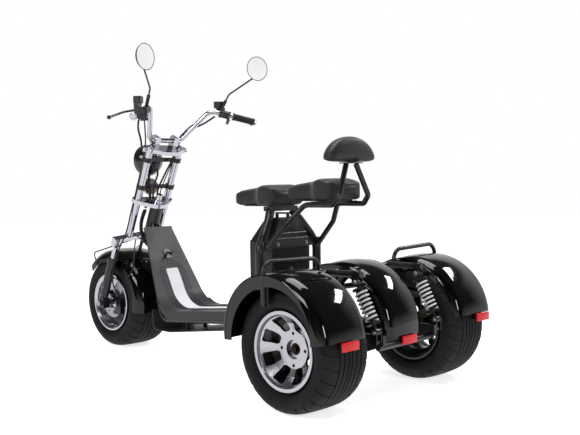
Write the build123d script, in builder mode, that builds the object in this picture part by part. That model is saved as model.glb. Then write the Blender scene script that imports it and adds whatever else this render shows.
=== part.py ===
# Electric trike: two saddles, a chrome fork with high bars, one wheel in front and two behind.
# X runs across with +X at the rider's left, Y runs along with +Y to the rear, Z is up from
# the ground. The origin is the middle of the plan at ground level. Lengths are millimetres.
import math
import os

from build123d import *

os.makedirs("parts", exist_ok=True)

# Running gaps
seat_gap = 0.3
shaft_gap = 0.5
slip_gap = 0.2

# Wheels
wheelbase = 1521
tyre_radius = 217
tyre_width = 225
tyre_wall = 10
bead_radius = 127
flange_radius = 137
rim_wall = 6
rear_wheel_x = 353
rear_flange_half = 99
front_flange_half = 109

# Rear fenders, arcs about a line above the axle
fender_radius = 245
fender_thick = 4
fender_corner = 46
fender_lift = 25
side_fender_half = 128.5
centre_fender_half = 127
centre_fender_shift = -35
reflector_size = (80, 6, 30)

# Fore and aft places: the plan is centred between the front tyre and the rear reflectors
rear_reach = fender_radius + seat_gap + reflector_size[1]
y_rear = (wheelbase + tyre_radius - rear_reach) / 2
y_front = y_rear - wheelbase

# Steering head
rake = 24.3
fork_offset = 32
steer_dir = Vector(0, math.sin(math.radians(rake)), math.cos(math.radians(rake)))
steer_back = Vector(0, math.cos(math.radians(rake)), -math.sin(math.radians(rake)))
steer_foot = Vector(0, y_front, tyre_radius) + steer_back * fork_offset
fork_ahead = -44
fork_x = 83
fork_tube_radius = 17
leg_x = 145
leg_radius = 21
stanchion_radius = 12
bridge_low = 300
bridge_height = 41
bridge_rise = 20
bridge_arch = 338
bridge_half = 165
bridge_deep = 34
head_low = 364
head_length = 150
head_radius = 30
stem_radius = 14
lower_yoke_s = 524
upper_yoke_s = 783
yoke_thick = 18

# Handlebar
bar_radius = 11
bar_ahead = -57
bar_s = 831
bar_flat = 88
bar_bend = (170, -1078, 1121)
bar_end = (344, -963, 1068)
grip_length = 115
grip_radius = 16.5
riser_x = 52

# Frame and body
frame_tube = 16
seat_tube = 18
back_tube = 10.5
board_half = 150
board_thick = 6
board_slope = 0.092
board_corner = (-1081.5, 216.7)
board_rear = -520
shield_top = (-1272, 583)
shield_top_half = 80
shield_low_half = 141
board_bend = 130


def aft(y):
    """Y of a place measured to the rear of the rear axle."""
    return y_rear + y


def steer_at(x, back, s):
    """Point at x, back from the steering axis, s up along it."""
    return steer_foot + Vector(x, 0, 0) + steer_back * back + steer_dir * s


def steer_plane(s, x=0, back=0):
    return Plane(origin=steer_at(x, back, s), x_dir=(1, 0, 0), z_dir=steer_dir)


def wheel_plane(x, y, z=tyre_radius):
    """Plane through a wheel's axis: local x along the axle, local y up."""
    return Plane(origin=(x, y, z), x_dir=(1, 0, 0), z_dir=(0, -1, 0))


def side_plane(x):
    """Plane across X: local x to the rear, local y up."""
    return Plane(origin=(x, 0, 0), x_dir=(0, 1, 0), z_dir=(1, 0, 0))


def tube(points, radius, bends):
    """Round bar along the points, with a bend radius at each inner point."""
    with BuildPart() as bar:
        with BuildLine() as path:
            if bends:
                FilletPolyline(*points, radius=bends)
            else:
                Polyline(*points)
        line = path.line
        with BuildSketch(Plane(origin=line @ 0, z_dir=line % 0)):
            Circle(radius)
        sweep(path=line)
    return bar.part


def rod(start, end, radius):
    """Round bar from start to end."""
    start, end = Vector(*start), Vector(*end)
    with BuildPart() as bar:
        with BuildSketch(Plane(origin=start, z_dir=end - start)):
            Circle(radius)
        extrude(amount=(end - start).length)
    return bar.part


def save(builder, name):
    builder.part.label = name
    export_step(builder.part, "parts/" + name + ".step")


def tyre_solid(x, y, flange_half):
    """Tyre with open beads, its section in axial and radial distance."""
    half = tyre_width / 2
    bead = flange_half - 14
    shoulder = half - 15
    with BuildPart() as tyre:
        with BuildSketch(wheel_plane(x, y)):
            with BuildLine():
                Polyline((bead, bead_radius), (bead + 2, bead_radius + 12))
                ThreePointArc((bead + 2, bead_radius + 12), (half, 170), (shoulder, tyre_radius - 10))
                ThreePointArc((shoulder, tyre_radius - 10), (0, tyre_radius), (-shoulder, tyre_radius - 10))
                ThreePointArc((-shoulder, tyre_radius - 10), (-half, 170), (-bead - 2, bead_radius + 12))
                Polyline((-bead - 2, bead_radius + 12), (-bead, bead_radius), (tyre_wall - bead, bead_radius),
                         (tyre_wall + 1 - bead, bead_radius + 12))
                ThreePointArc((tyre_wall + 1 - bead, bead_radius + 12), (tyre_wall - half, 170),
                              (-shoulder + 7, tyre_radius - 20))
                ThreePointArc((-shoulder + 7, tyre_radius - 20), (0, tyre_radius - tyre_wall),
                              (shoulder - 7, tyre_radius - 20))
                ThreePointArc((shoulder - 7, tyre_radius - 20), (half - tyre_wall, 170),
                              (bead - tyre_wall - 1, bead_radius + 12))
                Polyline((bead - tyre_wall - 1, bead_radius + 12), (bead - tyre_wall, bead_radius),
                         (bead, bead_radius))
            make_face()
        revolve(axis=Axis((x, y, tyre_radius), (1, 0, 0)))
    return tyre


# Rear wheels: an alloy with eight windows, its face set back from the outer flange
face_recess = 53
face_thick = 11
hub_radius = 33
stub_radius = 12
bolt_circle = 110
bolt_hole = 12
window_low = 65
window_high = 116.5
window_low_half = 17
window_high_half = 26
with BuildSketch() as wheel_window:
    with BuildLine():
        Polyline((window_low, window_low_half), (window_high, window_high_half),
                 (window_high, -window_high_half), (window_low, -window_low_half),
                 (window_low, window_low_half))
    make_face()
    fillet(wheel_window.vertices().sort_by(Axis.X)[:2], 13)
    fillet(wheel_window.vertices().sort_by(Axis.X)[-2:], 7)
rear_wheels = {"rear_left": 1, "rear_right": -1}
for wheel_name, side in rear_wheels.items():
    x_wheel = side * rear_wheel_x
    face = rear_flange_half - face_recess
    seat = bead_radius - slip_gap * 2
    well = seat - 18
    with BuildPart() as rear_rim:
        with BuildSketch(wheel_plane(x_wheel, y_rear)):
            with BuildLine():
                Polyline([(side * a, r) for a, r in (
                    (99, 137), (92, 137), (88, seat), (34, seat), (20, well), (-52, well),
                    (-66, seat), (-88, seat), (-92, 137), (-99, 137), (-99, 130), (-92, seat - rim_wall),
                    (-69, seat - rim_wall), (-55, well - rim_wall), (16, well - rim_wall),
                    (30, seat - rim_wall), (82, seat - rim_wall), (94, 125), (99, 125), (99, 137))])
            make_face()
            with BuildLine():
                Polyline([(side * a, r) for a, r in (
                    (face, hub_radius), (face, 66), (face + 12, 92), (86, seat - rim_wall + 1),
                    (70, seat - rim_wall + 1), (face - 2, 92), (face - face_thick, 66),
                    (face - face_thick, 50), (face - 40, 50), (face - 40, stub_radius + shaft_gap),
                    (face - face_thick, stub_radius + shaft_gap), (face - face_thick, hub_radius),
                    (face, hub_radius))])
            make_face()
        revolve(axis=Axis((x_wheel, y_rear, tyre_radius), (1, 0, 0)))
        face_plane = Plane(origin=(x_wheel + side * 100, y_rear, tyre_radius), x_dir=(0, 1, 0), z_dir=(side, 0, 0))
        with BuildSketch(face_plane):
            with PolarLocations(0, 8, start_angle=22.5):
                add(wheel_window.sketch)
        extrude(amount=-69, mode=Mode.SUBTRACT)
        with BuildSketch(face_plane):
            with PolarLocations(bolt_circle / 2, 4):
                Circle(bolt_hole / 2)
        extrude(amount=-100, mode=Mode.SUBTRACT)
    save(rear_rim, wheel_name + "_rim")
    save(tyre_solid(x_wheel, y_rear, rear_flange_half), wheel_name + "_tyre")

# Front wheel: a ribbed dish between wide flanges, with its brake disc on the left
front_axle_radius = 8
front_hub_radius = 32
disc_x = 94
disc_thick = 4
disc_radius = 75
with BuildPart() as front_rim:
    seat = bead_radius - slip_gap * 2
    well = seat - 18
    with BuildSketch(wheel_plane(0, y_front)):
        with BuildLine():
            Polyline((109, 137), (102, 137), (98, seat), (40, seat), (26, well), (-26, well), (-40, seat),
                     (-98, seat), (-102, 137), (-109, 137), (-109, 130), (-102, seat - rim_wall),
                     (-42, seat - rim_wall), (-28, well - rim_wall), (28, well - rim_wall),
                     (42, seat - rim_wall), (102, seat - rim_wall), (109, 130), (109, 137))
        make_face()
        with BuildLine():
            Polyline((14, well - rim_wall + 1), (10, 60), (20, front_hub_radius + 6), (88, front_hub_radius),
                     (88, front_axle_radius + shaft_gap), (-88, front_axle_radius + shaft_gap),
                     (-88, front_hub_radius), (-20, front_hub_radius + 6), (-4, 60),
                     (-4, well - rim_wall + 1), (14, well - rim_wall + 1))
        make_face()
    revolve(axis=Axis((0, y_front, tyre_radius), (1, 0, 0)))
save(front_rim, "front_rim")
save(tyre_solid(0, y_front, front_flange_half), "front_tyre")

with BuildPart() as front_brake_disc:
    with BuildSketch(wheel_plane(0, y_front)):
        with BuildLine():
            Polyline((disc_x - 2, 68), (disc_x - 2, disc_radius), (disc_x + 2, disc_radius), (disc_x + 2, 30),
                     (88 + seat_gap, 30), (88 + seat_gap, 38), (disc_x - 2, 42), (disc_x - 2, 68))
        make_face()
    revolve(axis=Axis((0, y_front, tyre_radius), (1, 0, 0)))
    with BuildSketch(Plane(origin=(disc_x - 10, y_front, tyre_radius), x_dir=(0, 1, 0), z_dir=(1, 0, 0))):
        with PolarLocations(58, 12):
            Circle(3.5)
        with PolarLocations(67, 12, start_angle=15):
            Circle(3.5)
        with PolarLocations(50, 6):
            Circle(5)
        Circle(22)
    extrude(amount=20, mode=Mode.SUBTRACT)
save(front_brake_disc, "front_brake_disc")

# Fork: chrome box bridge over the fender, with the stem that turns in the head tube
bridge_mid = bridge_low + bridge_height
with BuildPart() as fork_bridge:
    with BuildSketch(Plane(origin=steer_at(0, fork_ahead - bridge_deep / 2, 0), x_dir=(1, 0, 0),
                           z_dir=-steer_back)):
        with BuildLine():
            Polyline((-bridge_half, bridge_low), (-bridge_half, bridge_mid), (0, bridge_mid + bridge_rise),
                     (bridge_half, bridge_mid), (bridge_half, bridge_low), (bridge_half - 30, bridge_low),
                     (bridge_half - 43, bridge_arch - 10), (50, bridge_arch), (-50, bridge_arch),
                     (43 - bridge_half, bridge_arch - 10), (30 - bridge_half, bridge_low),
                     (-bridge_half, bridge_low))
        make_face()
    extrude(amount=-bridge_deep)
    with BuildSketch(steer_plane(bridge_mid)):
        with BuildLine():
            Polyline((-45, fork_ahead), (45, fork_ahead), (24, 24), (-24, 24), (-45, fork_ahead))
        make_face()
    extrude(amount=head_low - seat_gap - 2 - bridge_mid)
    with BuildSketch(steer_plane(bridge_mid)):
        Circle(stem_radius)
    extrude(amount=upper_yoke_s - bridge_mid - 200)
    for sign in (-1, 1):
        with BuildSketch(steer_plane(233, sign * leg_x, fork_ahead)):
            Circle(stanchion_radius)
        extrude(amount=bridge_low - 233 + 4)
save(fork_bridge, "fork_bridge")

# Fork tubes stand on the bridge, black legs carry the axle
tube_foot = bridge_mid + bridge_rise * (1 - fork_x / bridge_half) + 2.6
with BuildPart() as fork_tubes:
    for sign in (-1, 1):
        with BuildSketch(steer_plane(tube_foot, sign * fork_x, fork_ahead)):
            Circle(fork_tube_radius)
        extrude(amount=upper_yoke_s + yoke_thick + 2 - tube_foot)
save(fork_tubes, "fork_tubes")

leg_top = 232
with BuildPart() as fork_legs:
    for sign in (-1, 1):
        with BuildSketch(steer_plane(-12, sign * leg_x, fork_ahead)):
            Circle(leg_radius)
        extrude(amount=leg_top + 12)
        with BuildSketch(steer_plane(leg_top - 22, sign * leg_x, fork_ahead)):
            Circle(leg_radius + 4)
        extrude(amount=22)
        with BuildSketch(wheel_plane(sign * leg_x, y_front)):
            Rectangle(2 * leg_radius - 6, 46)
        extrude(amount=22, both=True)
    with BuildSketch(Plane(origin=(-200, y_front, tyre_radius), x_dir=(0, 1, 0), z_dir=(1, 0, 0))):
        Circle(front_axle_radius + slip_gap)
    extrude(amount=400, mode=Mode.SUBTRACT)
save(fork_legs, "fork_legs")

with BuildPart() as front_axle:
    with BuildSketch(Plane(origin=(-leg_x - 32, y_front, tyre_radius), x_dir=(0, 1, 0), z_dir=(1, 0, 0))):
        Circle(front_axle_radius)
    extrude(amount=2 * leg_x + 64)
    for sign in (-1, 1):
        with BuildSketch(Plane(origin=(sign * (leg_x + leg_radius + seat_gap), y_front, tyre_radius),
                               x_dir=(0, 1, 0), z_dir=(sign, 0, 0))):
            RegularPolygon(13, 6)
        extrude(amount=10)
        with BuildSketch(Plane(origin=(sign * (88 + shaft_gap), y_front, tyre_radius),
                               x_dir=(0, 1, 0), z_dir=(sign, 0, 0))):
            Circle(14)
        extrude(amount=leg_x - leg_radius - 88 - shaft_gap - seat_gap)
save(front_axle, "front_axle")

# Caliper behind the axle, on the left leg's bracket
caliper_y = y_front + 49
caliper_z = tyre_radius - 14
caliper_hub_room = 46
with BuildPart() as front_caliper:
    with BuildSketch(Plane(origin=(disc_x, caliper_y, caliper_z), x_dir=(0, 1, 0), z_dir=(1, 0, 0))):
        RectangleRounded(62, 84, 14)
    extrude(amount=13, both=True)
    disc_plane = Plane(origin=(disc_x, y_front, tyre_radius), x_dir=(0, 1, 0), z_dir=(1, 0, 0))
    with BuildSketch(disc_plane):
        Circle(disc_radius + 2)
    extrude(amount=disc_thick / 2 + 2, both=True, mode=Mode.SUBTRACT)
    with BuildSketch(disc_plane):
        Circle(caliper_hub_room)
    extrude(amount=20, both=True, mode=Mode.SUBTRACT)
    boss = steer_at(disc_x + 13, fork_ahead, 48)
    with BuildSketch(Plane(origin=(disc_x + 13, 0, 0), x_dir=(0, 1, 0), z_dir=(1, 0, 0))):
        with BuildLine():
            Polyline((boss.Y - 10, boss.Z + 10), (boss.Y + 12, boss.Z + 10),
                     (caliper_y + 20, caliper_z + 30), (caliper_y - 8, caliper_z + 24),
                     (boss.Y - 10, boss.Z - 6),
                     (boss.Y - 10, boss.Z + 10))
        make_face()
    extrude(amount=6)
    with BuildSketch(Plane(origin=boss, x_dir=(0, 1, 0), z_dir=(1, 0, 0))):
        Circle(8)
    extrude(amount=leg_x - leg_radius - disc_x - 13 - seat_gap)
save(front_caliper, "front_caliper")

# Yokes: the lower one carries the stem, the upper one the bar risers
with BuildPart() as lower_yoke:
    with BuildSketch(steer_plane(lower_yoke_s)):
        with BuildLine():
            Polyline((-fork_x, fork_ahead - 20), (fork_x, fork_ahead - 20), (fork_x + 20, fork_ahead + 20),
                     (30, 30), (-30, 30), (-fork_x - 20, fork_ahead + 20), (-fork_x, fork_ahead - 20))
        make_face()
        with Locations((-fork_x, fork_ahead), (fork_x, fork_ahead)):
            Circle(fork_tube_radius + 10)
        Circle(34)
        with Locations((-fork_x, fork_ahead), (fork_x, fork_ahead)):
            Circle(fork_tube_radius + slip_gap, mode=Mode.SUBTRACT)
        Circle(stem_radius + slip_gap, mode=Mode.SUBTRACT)
    extrude(amount=yoke_thick)
    with BuildSketch(steer_plane(lower_yoke_s + yoke_thick)):
        Circle(22)
        Circle(stem_radius + slip_gap, mode=Mode.SUBTRACT)
    extrude(amount=12)
save(lower_yoke, "lower_yoke")

with BuildPart() as upper_yoke:
    with BuildSketch(steer_plane(upper_yoke_s)):
        with BuildLine():
            Polyline((-126, fork_ahead + 4), (-100, fork_ahead - 30), (100, fork_ahead - 30),
                     (126, fork_ahead + 4), (100, fork_ahead + 20), (34, 14), (-34, 14),
                     (-100, fork_ahead + 20), (-126, fork_ahead + 4))
        make_face()
        with Locations((-fork_x, fork_ahead), (fork_x, fork_ahead)):
            Circle(fork_tube_radius + 12)
            Circle(fork_tube_radius + slip_gap, mode=Mode.SUBTRACT)
    extrude(amount=yoke_thick)
    for sign in (-1, 1):
        with BuildSketch(steer_plane(upper_yoke_s + yoke_thick, sign * riser_x, bar_ahead)):
            Rectangle(26, 38)
        extrude(amount=bar_s + 19 - upper_yoke_s - yoke_thick)
    with BuildSketch(Plane(origin=steer_at(-100, bar_ahead, bar_s), x_dir=(0, 1, 0), z_dir=(1, 0, 0))):
        Circle(bar_radius + slip_gap)
    extrude(amount=200, mode=Mode.SUBTRACT)
save(upper_yoke, "upper_yoke")

# High bars with a flat middle held in the risers
bar_mid = steer_at(0, bar_ahead, bar_s)
bar_points = [(-bar_end[0], aft(bar_end[1]), bar_end[2]), (-bar_bend[0], aft(bar_bend[1]), bar_bend[2]),
              (-bar_flat, bar_mid.Y, bar_mid.Z), (bar_flat, bar_mid.Y, bar_mid.Z),
              (bar_bend[0], aft(bar_bend[1]), bar_bend[2]), (bar_end[0], aft(bar_end[1]), bar_end[2])]
with BuildPart() as handlebar:
    add(tube(bar_points, bar_radius, [55, 32, 32, 55]))
save(handlebar, "handlebar")

grip_dir = {sign: (Vector(sign * bar_end[0], aft(bar_end[1]), bar_end[2])
                   - Vector(sign * bar_bend[0], aft(bar_bend[1]), bar_bend[2])).normalized()
            for sign in (-1, 1)}
with BuildPart() as grips:
    for sign in (-1, 1):
        tip = Vector(sign * bar_end[0], aft(bar_end[1]), bar_end[2]) + grip_dir[sign] * 2
        root = tip - grip_dir[sign] * grip_length
        with BuildSketch(Plane(origin=root, z_dir=grip_dir[sign])):
            Circle(grip_radius)
            Circle(bar_radius + slip_gap, mode=Mode.SUBTRACT)
        extrude(amount=grip_length)
save(grips, "grips")


def bar_place(sign, back_from_tip):
    """Point on the straight end of the bar, measured back from its tip."""
    return Vector(sign * bar_end[0], aft(bar_end[1]), bar_end[2]) - grip_dir[sign] * back_from_tip


# Brake levers with their clamps and reservoirs
lever_back = 140
with BuildPart() as brake_levers:
    for sign in (-1, 1):
        clamp = bar_place(sign, lever_back)
        across = Vector(0, 0, 1).cross(grip_dir[sign]).normalized() * -sign
        with BuildSketch(Plane(origin=clamp - grip_dir[sign] * 11, z_dir=grip_dir[sign])):
            Circle(bar_radius + 7)
            Circle(bar_radius + slip_gap, mode=Mode.SUBTRACT)
        extrude(amount=22)
        pivot = clamp + across * 38 + Vector(0, 0, 4)
        master = pivot - grip_dir[sign] * 26
        add(rod(tuple(clamp + across * (bar_radius + 3)), tuple(pivot), 7))
        with BuildSketch(Plane(origin=master - Vector(0, 0, 9), x_dir=grip_dir[sign], z_dir=(0, 0, 1))):
            with Locations((8, 0)):
                Rectangle(40, 22)
        extrude(amount=34)
        with BuildSketch(Plane(origin=master + Vector(0, 0, 24), x_dir=grip_dir[sign], z_dir=(0, 0, 1))):
            RectangleRounded(46, 34, 8)
        extrude(amount=30)
        ball = pivot + across * 68 + grip_dir[sign] * 145 + Vector(0, 0, -4)
        elbow = pivot + across * 40 + grip_dir[sign] * 45
        add(tube([tuple(pivot), tuple(elbow), tuple(ball)], 5, [40]))
        with Locations(Plane(origin=ball, z_dir=(ball - elbow).normalized())):
            Sphere(9)
save(brake_levers, "brake_levers")

with BuildPart() as switch_pods:
    for sign in (-1, 1):
        place = bar_place(sign, grip_length + 3)
        with BuildSketch(Plane(origin=place, x_dir=(0, 0, 1), z_dir=-grip_dir[sign])):
            with Locations((-12, 0)):
                Rectangle(58, 34)
            Circle(bar_radius + slip_gap, mode=Mode.SUBTRACT)
        extrude(amount=10)
save(switch_pods, "switch_pods")

# Round mirrors on thin cranked stems
mirror_radius = 56
mirror_centre = (317, -905, 1311)
mirror_turn = 12
mirror_knee = (225, -1003, 1194)
stem_wire = 4
with BuildPart() as mirror_stems:
    for sign in (-1, 1):
        place = bar_place(sign, lever_back + 22)
        foot = place + Vector(0, 2, bar_radius + 6)
        knee = Vector(sign * mirror_knee[0], aft(mirror_knee[1]), mirror_knee[2])
        looks = Vector(-sign * math.sin(math.radians(mirror_turn)), math.cos(math.radians(mirror_turn)), 0)
        ring = Vector(sign * mirror_centre[0], aft(mirror_centre[1]), mirror_centre[2] - 34) - looks * 16
        add(tube([tuple(foot), tuple(knee), tuple(ring)], stem_wire, [30]))
        add(rod(tuple(foot), tuple(foot + (knee - foot).normalized() * 50), 8))
        add(rod(tuple(ring - looks * 5), tuple(ring + looks * (16 - 10 - seat_gap)), 8))
        with BuildSketch(Plane(origin=place - grip_dir[sign] * 9, z_dir=grip_dir[sign])):
            Circle(bar_radius + 8)
            Circle(bar_radius + slip_gap, mode=Mode.SUBTRACT)
        extrude(amount=18)
save(mirror_stems, "mirror_stems")

with BuildPart() as mirror_heads:
    for sign in (-1, 1):
        looks = Vector(-sign * math.sin(math.radians(mirror_turn)), math.cos(math.radians(mirror_turn)), 0)
        centre = Vector(sign * mirror_centre[0], aft(mirror_centre[1]), mirror_centre[2])
        with BuildSketch(Plane(origin=centre, z_dir=looks)):
            Circle(mirror_radius)
        extrude(amount=-10, taper=25)
        with BuildSketch(Plane(origin=centre, z_dir=looks)):
            Circle(mirror_radius - 3)
        extrude(amount=-4, mode=Mode.SUBTRACT)
save(mirror_heads, "mirror_heads")

with BuildPart() as mirror_glasses:
    for sign in (-1, 1):
        looks = Vector(-sign * math.sin(math.radians(mirror_turn)), math.cos(math.radians(mirror_turn)), 0)
        centre = Vector(sign * mirror_centre[0], aft(mirror_centre[1]), mirror_centre[2])
        with BuildSketch(Plane(origin=centre - looks * (4 - seat_gap), z_dir=looks)):
            Circle(mirror_radius - 3 - slip_gap)
        extrude(amount=3)
save(mirror_glasses, "mirror_glasses")

# Headlight bowl and horn on a bar between the fork tubes
lamp_radius = 74
lamp_centre = (0, -1318, 897)
lamp_deep = 84
lamp_nose = 32
horn_centre = (0, -1318, 773)
with BuildPart() as headlight_shell:
    with BuildSketch(side_plane(0)):
        with BuildLine():
            lamp_y, lamp_z = aft(lamp_centre[1]), lamp_centre[2]
            Line((lamp_y - lamp_nose, lamp_z), (lamp_y - lamp_nose, lamp_z + lamp_radius))
            Line((lamp_y - lamp_nose, lamp_z + lamp_radius), (lamp_y - 12, lamp_z + lamp_radius))
            ThreePointArc((lamp_y - 12, lamp_z + lamp_radius), (lamp_y + 26, lamp_z + 0.72 * lamp_radius),
                          (lamp_y + lamp_deep - lamp_nose, lamp_z + 12))
            Polyline((lamp_y + lamp_deep - lamp_nose, lamp_z + 12), (lamp_y + lamp_deep - lamp_nose, lamp_z),
                     (lamp_y - lamp_nose, lamp_z))
        make_face()
    revolve(axis=Axis((0, lamp_y, lamp_z), (0, 1, 0)))
    with BuildSketch(Plane(origin=(0, lamp_y - lamp_nose, lamp_z), x_dir=(1, 0, 0), z_dir=(0, 1, 0))):
        Circle(lamp_radius - 5)
    extrude(amount=22, mode=Mode.SUBTRACT)
save(headlight_shell, "headlight_shell")

with BuildPart() as headlight_lens:
    with BuildSketch(Plane(origin=(0, lamp_y - lamp_nose + 2, lamp_z), x_dir=(1, 0, 0), z_dir=(0, 1, 0))):
        Circle(lamp_radius - 5 - slip_gap)
    extrude(amount=4)
save(headlight_lens, "headlight_lens")

with BuildPart() as horn:
    with BuildSketch(Plane(origin=(0, aft(horn_centre[1]), horn_centre[2]), x_dir=(1, 0, 0), z_dir=(0, -1, 0))):
        Circle(39)
    extrude(amount=14)
    with BuildSketch(Plane(origin=(0, aft(horn_centre[1]), horn_centre[2]), x_dir=(1, 0, 0), z_dir=(0, -1, 0))):
        Circle(30)
    extrude(amount=-16)
save(horn, "horn")



def fork_height(z):
    """Distance up the steering axis at which the fork tubes' centre line is z above the ground."""
    return (z - steer_at(0, fork_ahead, 0).Z) / steer_dir.Z


with BuildPart() as lamp_bracket:
    for centre, back in ((lamp_centre, lamp_deep - lamp_nose), (horn_centre, 16)):
        s = fork_height(centre[2])
        for sign in (-1, 1):
            with BuildSketch(steer_plane(s - 10, sign * fork_x, fork_ahead)):
                Circle(fork_tube_radius + 5)
                Circle(fork_tube_radius + slip_gap, mode=Mode.SUBTRACT)
            extrude(amount=20)
        with BuildSketch(steer_plane(s - 10)):
            with Locations((0, fork_ahead)):
                Rectangle(2 * (fork_x - fork_tube_radius - 3), 5)
        extrude(amount=20)
        add(rod((0, aft(centre[1]) + back + seat_gap, centre[2]), (0, steer_at(0, fork_ahead, s).Y, centre[2]), 7))
save(lamp_bracket, "lamp_bracket")

# Front fender about the front axle, and the thin stays that hold it
front_fender_radius = 256
front_fender_half = 118
fender_fore = 132
fender_hind = -9


def fender_section(half, radius, corner, thick, deep):
    """Upside-down U of a fender in a plane through its centre line: local y is the radius."""
    with BuildSketch() as section:
        with BuildSketch(mode=Mode.PRIVATE) as outer:
            with Locations((0, radius - deep / 2)):
                Rectangle(2 * half, deep)
            fillet(outer.vertices().group_by(Axis.Y)[-1], corner)
        with BuildSketch(mode=Mode.PRIVATE) as inner:
            with Locations((0, radius - thick - deep / 2)):
                Rectangle(2 * (half - thick), deep)
            fillet(inner.vertices().group_by(Axis.Y)[-1], corner - thick)
        add(outer.sketch)
        add(inner.sketch, mode=Mode.SUBTRACT)
    return section.sketch


def arch(centre, half, radius, corner, thick, deep, hind, fore):
    """Fender arch about a line along X, from the angle hind to fore above the rear horizontal."""
    hind_radians = math.radians(hind)
    outward = (0, math.cos(hind_radians), math.sin(hind_radians))
    normal = Vector(1, 0, 0).cross(Vector(*outward))
    with BuildPart() as shell:
        with BuildSketch(Plane(origin=centre, x_dir=(1, 0, 0), z_dir=normal)):
            add(fender_section(half, radius, corner, thick, deep))
        revolve(axis=Axis(centre, (1, 0, 0)), revolution_arc=fore - hind)
    return shell.part


with BuildPart() as front_fender:
    add(arch((0, y_front, tyre_radius), front_fender_half, front_fender_radius, 52, 3, 62,
             fender_hind, fender_fore))
save(front_fender, "front_fender")

# Rear fenders: two over the wheels and one between them
skirt_radius = 203
skirt_shift = (-21, 25)
side_arc = (6, 181)
centre_arc = (-4, 172)


def rear_fender(x, half, shift, lift, arc):
    centre = (x, aft(shift), tyre_radius + lift)
    with BuildPart() as shell:
        add(arch(centre, half, fender_radius, fender_corner, fender_thick, 125, arc[0], arc[1]))
        with BuildSketch(Plane(origin=(x - 200, aft(shift + skirt_shift[0]), tyre_radius + lift + skirt_shift[1]),
                               x_dir=(0, 1, 0), z_dir=(1, 0, 0))):
            Circle(skirt_radius)
        extrude(amount=400, mode=Mode.SUBTRACT)
        end = Vector(0, math.cos(math.radians(arc[0])), math.sin(math.radians(arc[0])))
        edge = Vector(*centre) + end * (fender_radius - fender_thick)
        with BuildSketch(Plane(origin=(x, edge.Y, edge.Z), x_dir=(1, 0, 0), z_dir=(0, 1, 0))):
            Rectangle(60, 2 * reflector_size[2] - 14)
        extrude(amount=centre[1] + fender_radius - edge.Y)
    return shell


side_lift = fender_lift
centre_lift = 29
save(rear_fender(rear_wheel_x, side_fender_half, 0, side_lift, side_arc), "left_fender")
save(rear_fender(0, centre_fender_half, centre_fender_shift, centre_lift, centre_arc), "centre_fender")
save(rear_fender(-rear_wheel_x, side_fender_half, 0, side_lift, side_arc), "right_fender")

with BuildPart() as reflectors:
    for x, y, z in ((rear_wheel_x + 36, 0, 256), (0, centre_fender_shift, 215), (-rear_wheel_x - 36, 0, 256)):
        with BuildSketch(Plane(origin=(x, aft(y) + fender_radius + seat_gap, z), x_dir=(1, 0, 0), z_dir=(0, -1, 0))):
            Rectangle(reflector_size[0], reflector_size[2])
        extrude(amount=-reflector_size[1])
save(reflectors, "reflectors")

# Grab rails across the side fenders, on plates slipped over the tube that carries the fenders
rear_rail_z = 458
carrier_radius = 9
rail_radius = 8
rail_half = rear_wheel_x - 215.5
rail_y = -45
rail_top = 520
for rail_name, side in {"left_grab_rail": 1, "right_grab_rail": -1}.items():
    with BuildPart() as grab_rail:
        outer_x = side * (rear_wheel_x + rail_half)
        inner_x = side * (rear_wheel_x - rail_half)
        add(tube([(outer_x, aft(rail_y), 370), (outer_x, aft(rail_y), rail_top),
                  (inner_x, aft(rail_y), rail_top - 8), (inner_x, aft(rail_y), 405)], rail_radius, [45, 45]))
        for x, inward in ((outer_x, -side), (inner_x, side)):
            with BuildSketch(Plane(origin=(x + inward * rail_radius, aft(rail_y), 424), x_dir=(0, 1, 0),
                                   z_dir=(inward, 0, 0))):
                RectangleRounded(36, 104, 8)
                with Locations((0, rear_rail_z - 424)):
                    Circle(carrier_radius + slip_gap, mode=Mode.SUBTRACT)
            extrude(amount=5, both=True)
        with BuildSketch(side_plane(0)):
            with Locations((aft(rail_y), rear_rail_z)):
                Circle(carrier_radius + slip_gap)
        extrude(amount=600, both=True, mode=Mode.SUBTRACT)
    save(grab_rail, rail_name)

# Head tube, twin down tubes and floor rails under the board
floor_z = 170
rail_rear = (110, -408, 236)
cross_bar = 13
cross_y = (-1000, -700, -500)


def board_under(y):
    """Underside of the board's floor."""
    return board_corner[1] + board_slope * (y - board_corner[0]) - board_thick * math.hypot(1, board_slope)


def cross_z(y):
    return board_under(y) - seat_gap - cross_bar * math.hypot(1, board_slope)


with BuildPart() as main_frame:
    with BuildSketch(steer_plane(head_low)):
        Circle(head_radius)
    extrude(amount=head_length)
    for sign in (-1, 1):
        neck = steer_at(sign * 18, 10, head_low + 70)
        add(tube([tuple(neck), (sign * 70, aft(-1200), 350), (sign * 95, aft(-1115), floor_z),
                  (sign * rail_rear[0], aft(rail_rear[1]), rail_rear[2])], frame_tube, [60, 60]))
        for y in (-500, -412):
            with BuildSketch(Plane(origin=(sign * 98, aft(y), 236), x_dir=(1, 0, 0), z_dir=(0, 0, 1))):
                Rectangle(16, 24)
            extrude(amount=290 - seat_gap - 236)
    for y in cross_y:
        add(rod((-104, aft(y), cross_z(y)), (104, aft(y), cross_z(y)), cross_bar))
    add(rod((-180, aft(-408), 234), (180, aft(-408), 234), 17))
    with BuildSketch(steer_plane(head_low - 1)):
        Circle(stem_radius + shaft_gap)
    extrude(amount=head_length + 2, mode=Mode.SUBTRACT)
save(main_frame, "main_frame")

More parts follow.
